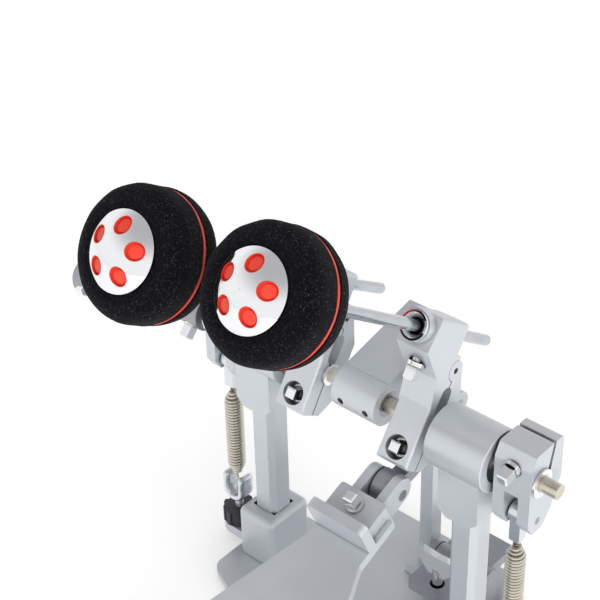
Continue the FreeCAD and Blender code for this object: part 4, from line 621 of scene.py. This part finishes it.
class PEDAL_OT_cups(bpy.types.Operator):
    """Line the holes of the chrome caps with red cups"""
    bl_idname = "pedal.cups"
    bl_label = "Red cups"

    def cups(self, cup, front):
        """All cups of one cap, each eight loops from its outer foot over its lip and floor to a low round plug.

        The lip lies on the cap's sphere z = middle + sqrt(R^2 - x^2 - y^2); the floor is the plane that
        is square to that sphere's radius through the hole, one depth further in.
        """
        rise = cup.dome_height - cup.dome_rim
        curve = (cup.dome_radius ** 2 + rise ** 2) / (2 * rise)
        middle = front + cup.dome_height - curve
        level = math.sqrt(curve ** 2 - cup.circle ** 2)
        places = math.pi / 2 + 2 * math.pi * np.arange(cup.count) / cup.count
        towards = np.stack([np.cos(places), np.sin(places)], axis=-1)[:, None, None]
        spin = np.linspace(0, 2 * math.pi, CUP_STEPS, endpoint=False)
        inner = cup.radius - CUP_WALL
        plug = np.array([0.75, 0.75, 0.95, 1.25]) * MM  # how far its loops lie inside the cup's wall
        reach = np.concatenate([[cup.radius, cup.radius, inner, inner], inner - plug])
        local = reach[:, None, None] * np.stack([np.cos(spin), np.sin(spin)], axis=-1)
        flat = towards * cup.circle + local
        lip = middle + np.sqrt(curve ** 2 - (flat ** 2).sum(axis=-1)) - CUP_SINK
        tilt = (local * towards).sum(axis=-1) * cup.circle / level
        floor = middle + level - cup.depth * curve / level - tilt
        on_lip = np.array([0, 1, 1, 0, 0, 0, 0, 0])[:, None]
        lift = np.array([-0.12, 0, 0, 0, 0, 0.6, 0.85, 0.95])[:, None] * MM  # foot below, plug above
        return np.concatenate([flat, (on_lip * lip + (1 - on_lip) * floor + lift)[..., None]], axis=-1)

    def execute(self, context):
        soft = context.scene.pedal_felt
        cup = context.scene.pedal_cup
        red = moulded(
            "moulded red elastomer", soft.red, soft.deep_red, rough=0.38, grain_mm=1.5, depth_mm=0.02)
        for side in SIDES:
            points = self.cups(cup, REACHES[side] + soft.front)
            loops, columns = points.shape[1:3]
            faces = []
            for start in range(0, cup.count * loops * columns, loops * columns):
                faces += tube_faces(loops, columns, start)
            piece = mesh_piece(f"{side}_red_cups", beater_to_row(points, side), faces, red, f"{side}_beater")
            piece.data.set_sharp_from_angle(angle=math.radians(50))
        return {"FINISHED"}


class PEDAL_OT_springs(bpy.types.Operator):
    """Wind the return springs"""
    bl_idname = "pedal.springs"
    bl_label = "Springs"

    def wire(self, size, side):
        """One wire carried along a close helix that narrows at both ends and comes in to its axis.

        z runs evenly through the turns; the radius is half a smooth step over each lead-in
        plus half a smooth step over each tapered end.
        """
        lead = size.radius + size.wire
        stations = np.concatenate([
            np.linspace(size.foot, size.low - lead, TAIL_STEPS, endpoint=False),
            np.linspace(size.low - lead, size.low, LEAD_STEPS, endpoint=False),
            np.linspace(size.low, size.high, size.turns * TURN_STEPS, endpoint=False),
            np.linspace(size.high, size.high + lead, LEAD_STEPS, endpoint=False),
            np.linspace(size.high + lead, size.head, TAIL_STEPS),
        ])
        pitch = (size.high - size.low) / size.turns
        wound = np.clip((stations - size.low) / pitch, -WIRE_OVERRUN, size.turns + WIRE_OVERRUN)
        turn = 2 * math.pi * wound
        rise = np.clip((stations - size.low + lead) / lead, 0, 1)
        fall = np.clip((size.high + lead - stations) / lead, 0, 1)
        ease = np.minimum(rise, fall)
        swell = np.clip(np.minimum(stations - size.low, size.high - stations) / size.taper, 0, 1)
        radius = size.radius / 2 * (ease ** 2 * (3 - 2 * ease) + swell ** 2 * (3 - 2 * swell))
        radial = np.stack([np.cos(turn), np.sin(turn), np.zeros_like(turn)], axis=-1)
        spine = radial * radius[:, None] + np.stack([np.zeros_like(turn)] * 2 + [stations], axis=-1)
        ahead = np.gradient(spine, axis=0)
        ahead /= np.linalg.norm(ahead, axis=1, keepdims=True)
        first = radial - (radial * ahead).sum(axis=1, keepdims=True) * ahead
        first /= np.linalg.norm(first, axis=1, keepdims=True)
        second = np.cross(ahead, first)
        spin = np.linspace(0, 2 * math.pi, WIRE_SIDES, endpoint=False)[None, :, None]
        tube = spine[:, None] + size.wire * (first[:, None] * np.cos(spin) + second[:, None] * np.sin(spin))
        tube[..., 0] += SIDES[side] * SPRING_X
        return tube

    def execute(self, context):
        size = context.scene.pedal_spring
        look = context.scene.pedal_metal
        wire = turned_metal(
            "nickelled spring wire", look.spring, "#bab5a9", rough=0.24, groove_mm=1.4, axis="Z")
        for side in SIDES:
            tube = self.wire(size, side)
            faces = tube_faces(*tube.shape[:2])
            piece = mesh_piece(f"{side}_wound_spring", tube, faces, wire, f"{side}_spring")
            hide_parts(f"{side}_spring")
        return {"FINISHED"}


class PEDAL_OT_forks(bpy.types.Operator):
    """Make the forks that hold the springs' lower ends"""
    bl_idname = "pedal.forks"
    bl_label = "Spring forks"

    def bar(self, size):
        """A rounded bar carried down one prong, round the bottom and up the other prong.

        The path is two straight runs joined by half an ellipse. The section is a superellipse of exponent 3;
        its thickness swells near the tops and narrows at a waist, and both ends close in a quarter circle.
        """
        close = np.cos(FORK_END_ANGLES)
        ends = size.top + size.thick * np.sin(FORK_END_ANGLES)
        run = np.linspace(size.top, size.bend, PRONG_STEPS, endpoint=False)
        turn = np.linspace(0, math.pi, FORK_BEND_STEPS)
        straight = np.full(len(ends) + PRONG_STEPS, size.prong)
        across = np.concatenate([straight, size.prong * np.cos(turn), -straight])
        bottom = size.bend - (size.bend - size.base) * np.sin(turn)
        level = np.concatenate([ends, run, bottom, run[::-1], ends[::-1]])
        shrink = np.concatenate([close, np.ones(2 * PRONG_STEPS + FORK_BEND_STEPS), close[::-1]])
        head = 0.1 * np.exp(-((level - size.top) / (2.4 * MM)) ** 2)
        waist = 0.24 * np.exp(-((level - size.bend - 3 * MM) / (2.6 * MM)) ** 2)
        half_thick = size.thick * (1 + head - waist) * shrink
        half_deep = size.depth * (0.4 + 0.6 * shrink)
        path = np.stack([across, np.zeros_like(across), level], axis=-1)
        ahead = np.gradient(path, axis=0)
        ahead /= np.linalg.norm(ahead, axis=1, keepdims=True)
        aside = np.stack([-ahead[:, 2], ahead[:, 1], ahead[:, 0]], axis=-1)
        spin = np.linspace(2 * math.pi, 0, FORK_SIDES, endpoint=False)
        wide = np.sign(np.cos(spin)) * np.abs(np.cos(spin)) ** FORK_POWER
        deep = np.sign(np.sin(spin)) * np.abs(np.sin(spin)) ** FORK_POWER
        out = aside[:, None] * half_thick[:, None, None] * wide[:, None]
        back = np.array([0, 1, 0]) * half_deep[:, None, None] * deep[:, None]
        return path[:, None] + out + back

    def stem(self, size, low):
        """A threaded stem turned about the fork's middle: its radius dips by a sawtooth once in each pitch."""
        level = np.arange(low, size.base, size.pitch / 4)
        dip = np.abs((level - low) / size.pitch % 1 - 0.5) * 0.5 * MM
        spin = np.linspace(0, 2 * math.pi, FORK_SIDES, endpoint=False)
        around = np.stack([np.cos(spin), np.sin(spin), np.zeros_like(spin)], axis=-1)
        lift = np.stack([np.zeros_like(level)] * 2 + [level], axis=-1)
        return (size.stem - dip)[:, None, None] * around + lift[:, None]

    def execute(self, context):
        size = context.scene.pedal_fork
        zinc = zinc_plate(context.scene.pedal_metal)
        for side in SIDES:
            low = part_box(f"{side}_spring_clevis")[0][2]
            parts, faces = [], []
            for shell in (self.bar(size), self.stem(size, low)):
                faces += tube_faces(*shell.shape[:2], sum(len(part) for part in parts))
                parts.append(shell.reshape(-1, 3) + np.array([SIDES[side] * SPRING_X, 0, 0]))
            piece = mesh_piece(f"{side}_spring_fork", np.vstack(parts), faces, zinc, f"{side}_clevis")
            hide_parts(f"{side}_spring_clevis")
        return {"FINISHED"}


class PEDAL_OT_stage(bpy.types.Operator):
    """Set the floor, the studio lights and the camera"""
    bl_idname = "pedal.stage"
    bl_label = "Stage"

    def floor(self, look):
        """A wide level sheet just under the mat; the camera sees it white and it keeps the shadow."""
        reach = np.linspace(-FLOOR_REACH, FLOOR_REACH, FLOOR_LINES)
        across, along = np.meshgrid(reach, reach, indexing="ij")
        points = np.stack([across, along, np.full_like(across, -FLOOR_GAP)], axis=-1)
        quads = grid_faces(FLOOR_LINES, FLOOR_LINES, False, False)[:, ::-1]
        mesh = bpy.data.meshes.new("floor")
        mesh.from_pydata(points.reshape(-1, 3).tolist(), [], quads.tolist())
        material, tree, where = blank_material("matt studio paper")
        fibre = noise(tree, where, 30, 3.0, 0.5)
        glow = add(tree, "ShaderNodeMath", {"operation": "MULTIPLY", 1: look.glow}, i0=seen_or_mirrored(tree))
        shader = add(
            tree, "ShaderNodeBsdfPrincipled",
            {"Base Color": linear(look.floor), "Roughness": 0.9, "Emission Color": WHITE},
            Normal=relief(tree, fibre, 0.05, 0.1), Emission_Strength=glow.outputs["Value"])
        close_material(tree, shader)
        mesh.materials.append(material)
        sheet = bpy.data.objects.new("floor", mesh)
        bpy.context.scene.collection.objects.link(sheet)

    def fade(self, tree, height, start, end, low, high):
        """A smooth step over the height of a ray, from one strength to another."""
        settings = {
            "interpolation_type": "SMOOTHSTEP",
            "From Min": start, "From Max": end, "To Min": low, "To Max": high,
        }
        return add(tree, "ShaderNodeMapRange", settings, Value=height).outputs["Result"]

    def world(self, context):
        """White round the horizon where it is seen or mirrored, and grey above; its light fades upwards too."""
        world = bpy.data.worlds.new("studio")
        context.scene.world = world
        world.use_nodes = True
        tree = world.node_tree
        tree.nodes.clear()
        where = add(tree, "ShaderNodeTexCoord").outputs["Generated"]
        height = add(tree, "ShaderNodeSeparateXYZ", Vector=where).outputs["Z"]
        lit = self.fade(tree, height, 0.0, 0.8, 0.82, 0.45)
        white = self.fade(tree, height, 0.3, 0.95, 1.0, 0.5)
        shown = add(tree, "ShaderNodeMath", {"operation": "MULTIPLY"}, i0=white, i1=seen_or_mirrored(tree))
        strength = add(tree, "ShaderNodeMath", {"operation": "MAXIMUM"}, i0=shown.outputs["Value"], i1=lit)
        sky = add(tree, "ShaderNodeBackground", {"Color": WHITE}, Strength=strength.outputs["Value"])
        add(tree, "ShaderNodeOutputWorld", Surface=sky.outputs["Background"])

    def lamp(self, name, place, target, width, power):
        """A square area lamp that lights the object; metal mirrors the white room in its place."""
        light = bpy.data.lights.new(name, "AREA")
        light.size = width
        light.energy = power
        lamp = bpy.data.objects.new(name, light)
        lamp.location = place
        lamp.rotation_euler = look_angles(np.array(target) - np.array(place))
        lamp.visible_glossy = False
        bpy.context.scene.collection.objects.link(lamp)

    def execute(self, context):
        look = context.scene.pedal_stage
        context.scene.view_settings.view_transform = "Standard"
        self.floor(look)
        self.world(context)
        for name, place, width, power in LAMPS:
            self.lamp(name, place, look.target, width, power)
        camera = bpy.data.cameras.new("camera")
        camera.lens = look.lens
        camera.sensor_width = 36
        camera.shift_x, camera.shift_y = look.shift
        camera.clip_start = 0.01
        level = math.cos(look.elevation)
        away = np.array([
            level * math.sin(look.azimuth), -level * math.cos(look.azimuth), math.sin(look.elevation)])
        holder = bpy.data.objects.new("camera", camera)
        holder.location = np.array(look.target) + away * look.distance
        holder.rotation_euler = look_angles(-away)
        context.scene.collection.objects.link(holder)
        context.scene.camera = holder
        return {"FINISHED"}


def look_angles(aim):
    """Euler angles that turn an object's -Z along a direction with Y as near up as can be."""
    flat = math.hypot(aim[0], aim[1])
    return (math.atan2(flat, -aim[2]), 0, math.atan2(-aim[0], aim[1]))


class PEDAL_PT_sidebar(bpy.types.Panel):
    """Steps that dress the pedal"""
    bl_idname = "PEDAL_PT_sidebar"
    bl_label = "Double pedal"
    bl_space_type = "VIEW_3D"
    bl_region_type = "UI"
    bl_category = "Pedal"

    def draw(self, context):
        for operator in OPERATORS:
            self.layout.operator(operator.bl_idname)


GROUPS = {
    "pedal_felt": PedalFelt, "pedal_cup": PedalCup, "pedal_metal": PedalMetal, "pedal_spring": PedalSpring,
    "pedal_fork": PedalFork, "pedal_stage": PedalStage,
}
OPERATORS = (
    PEDAL_OT_castings, PEDAL_OT_bright_parts, PEDAL_OT_mouldings, PEDAL_OT_felts, PEDAL_OT_cups, PEDAL_OT_springs,
    PEDAL_OT_forks, PEDAL_OT_stage,
)


def register():
    for name, group in GROUPS.items():
        bpy.utils.register_class(group)
        setattr(bpy.types.Scene, name, PointerProperty(type=group))
    for made in (*OPERATORS, PEDAL_PT_sidebar):
        bpy.utils.register_class(made)


def unregister():
    for made in (PEDAL_PT_sidebar, *reversed(OPERATORS)):
        bpy.utils.unregister_class(made)
    for name, group in GROUPS.items():
        delattr(bpy.types.Scene, name)
        bpy.utils.unregister_class(group)


def main():
    register()
    bpy.ops.pedal.castings()
    bpy.ops.pedal.bright_parts()
    bpy.ops.pedal.mouldings()
    bpy.ops.pedal.felts()
    bpy.ops.pedal.cups()
    bpy.ops.pedal.springs()
    bpy.ops.pedal.forks()
    bpy.ops.pedal.stage()


if __name__ == "__main__":
    main()
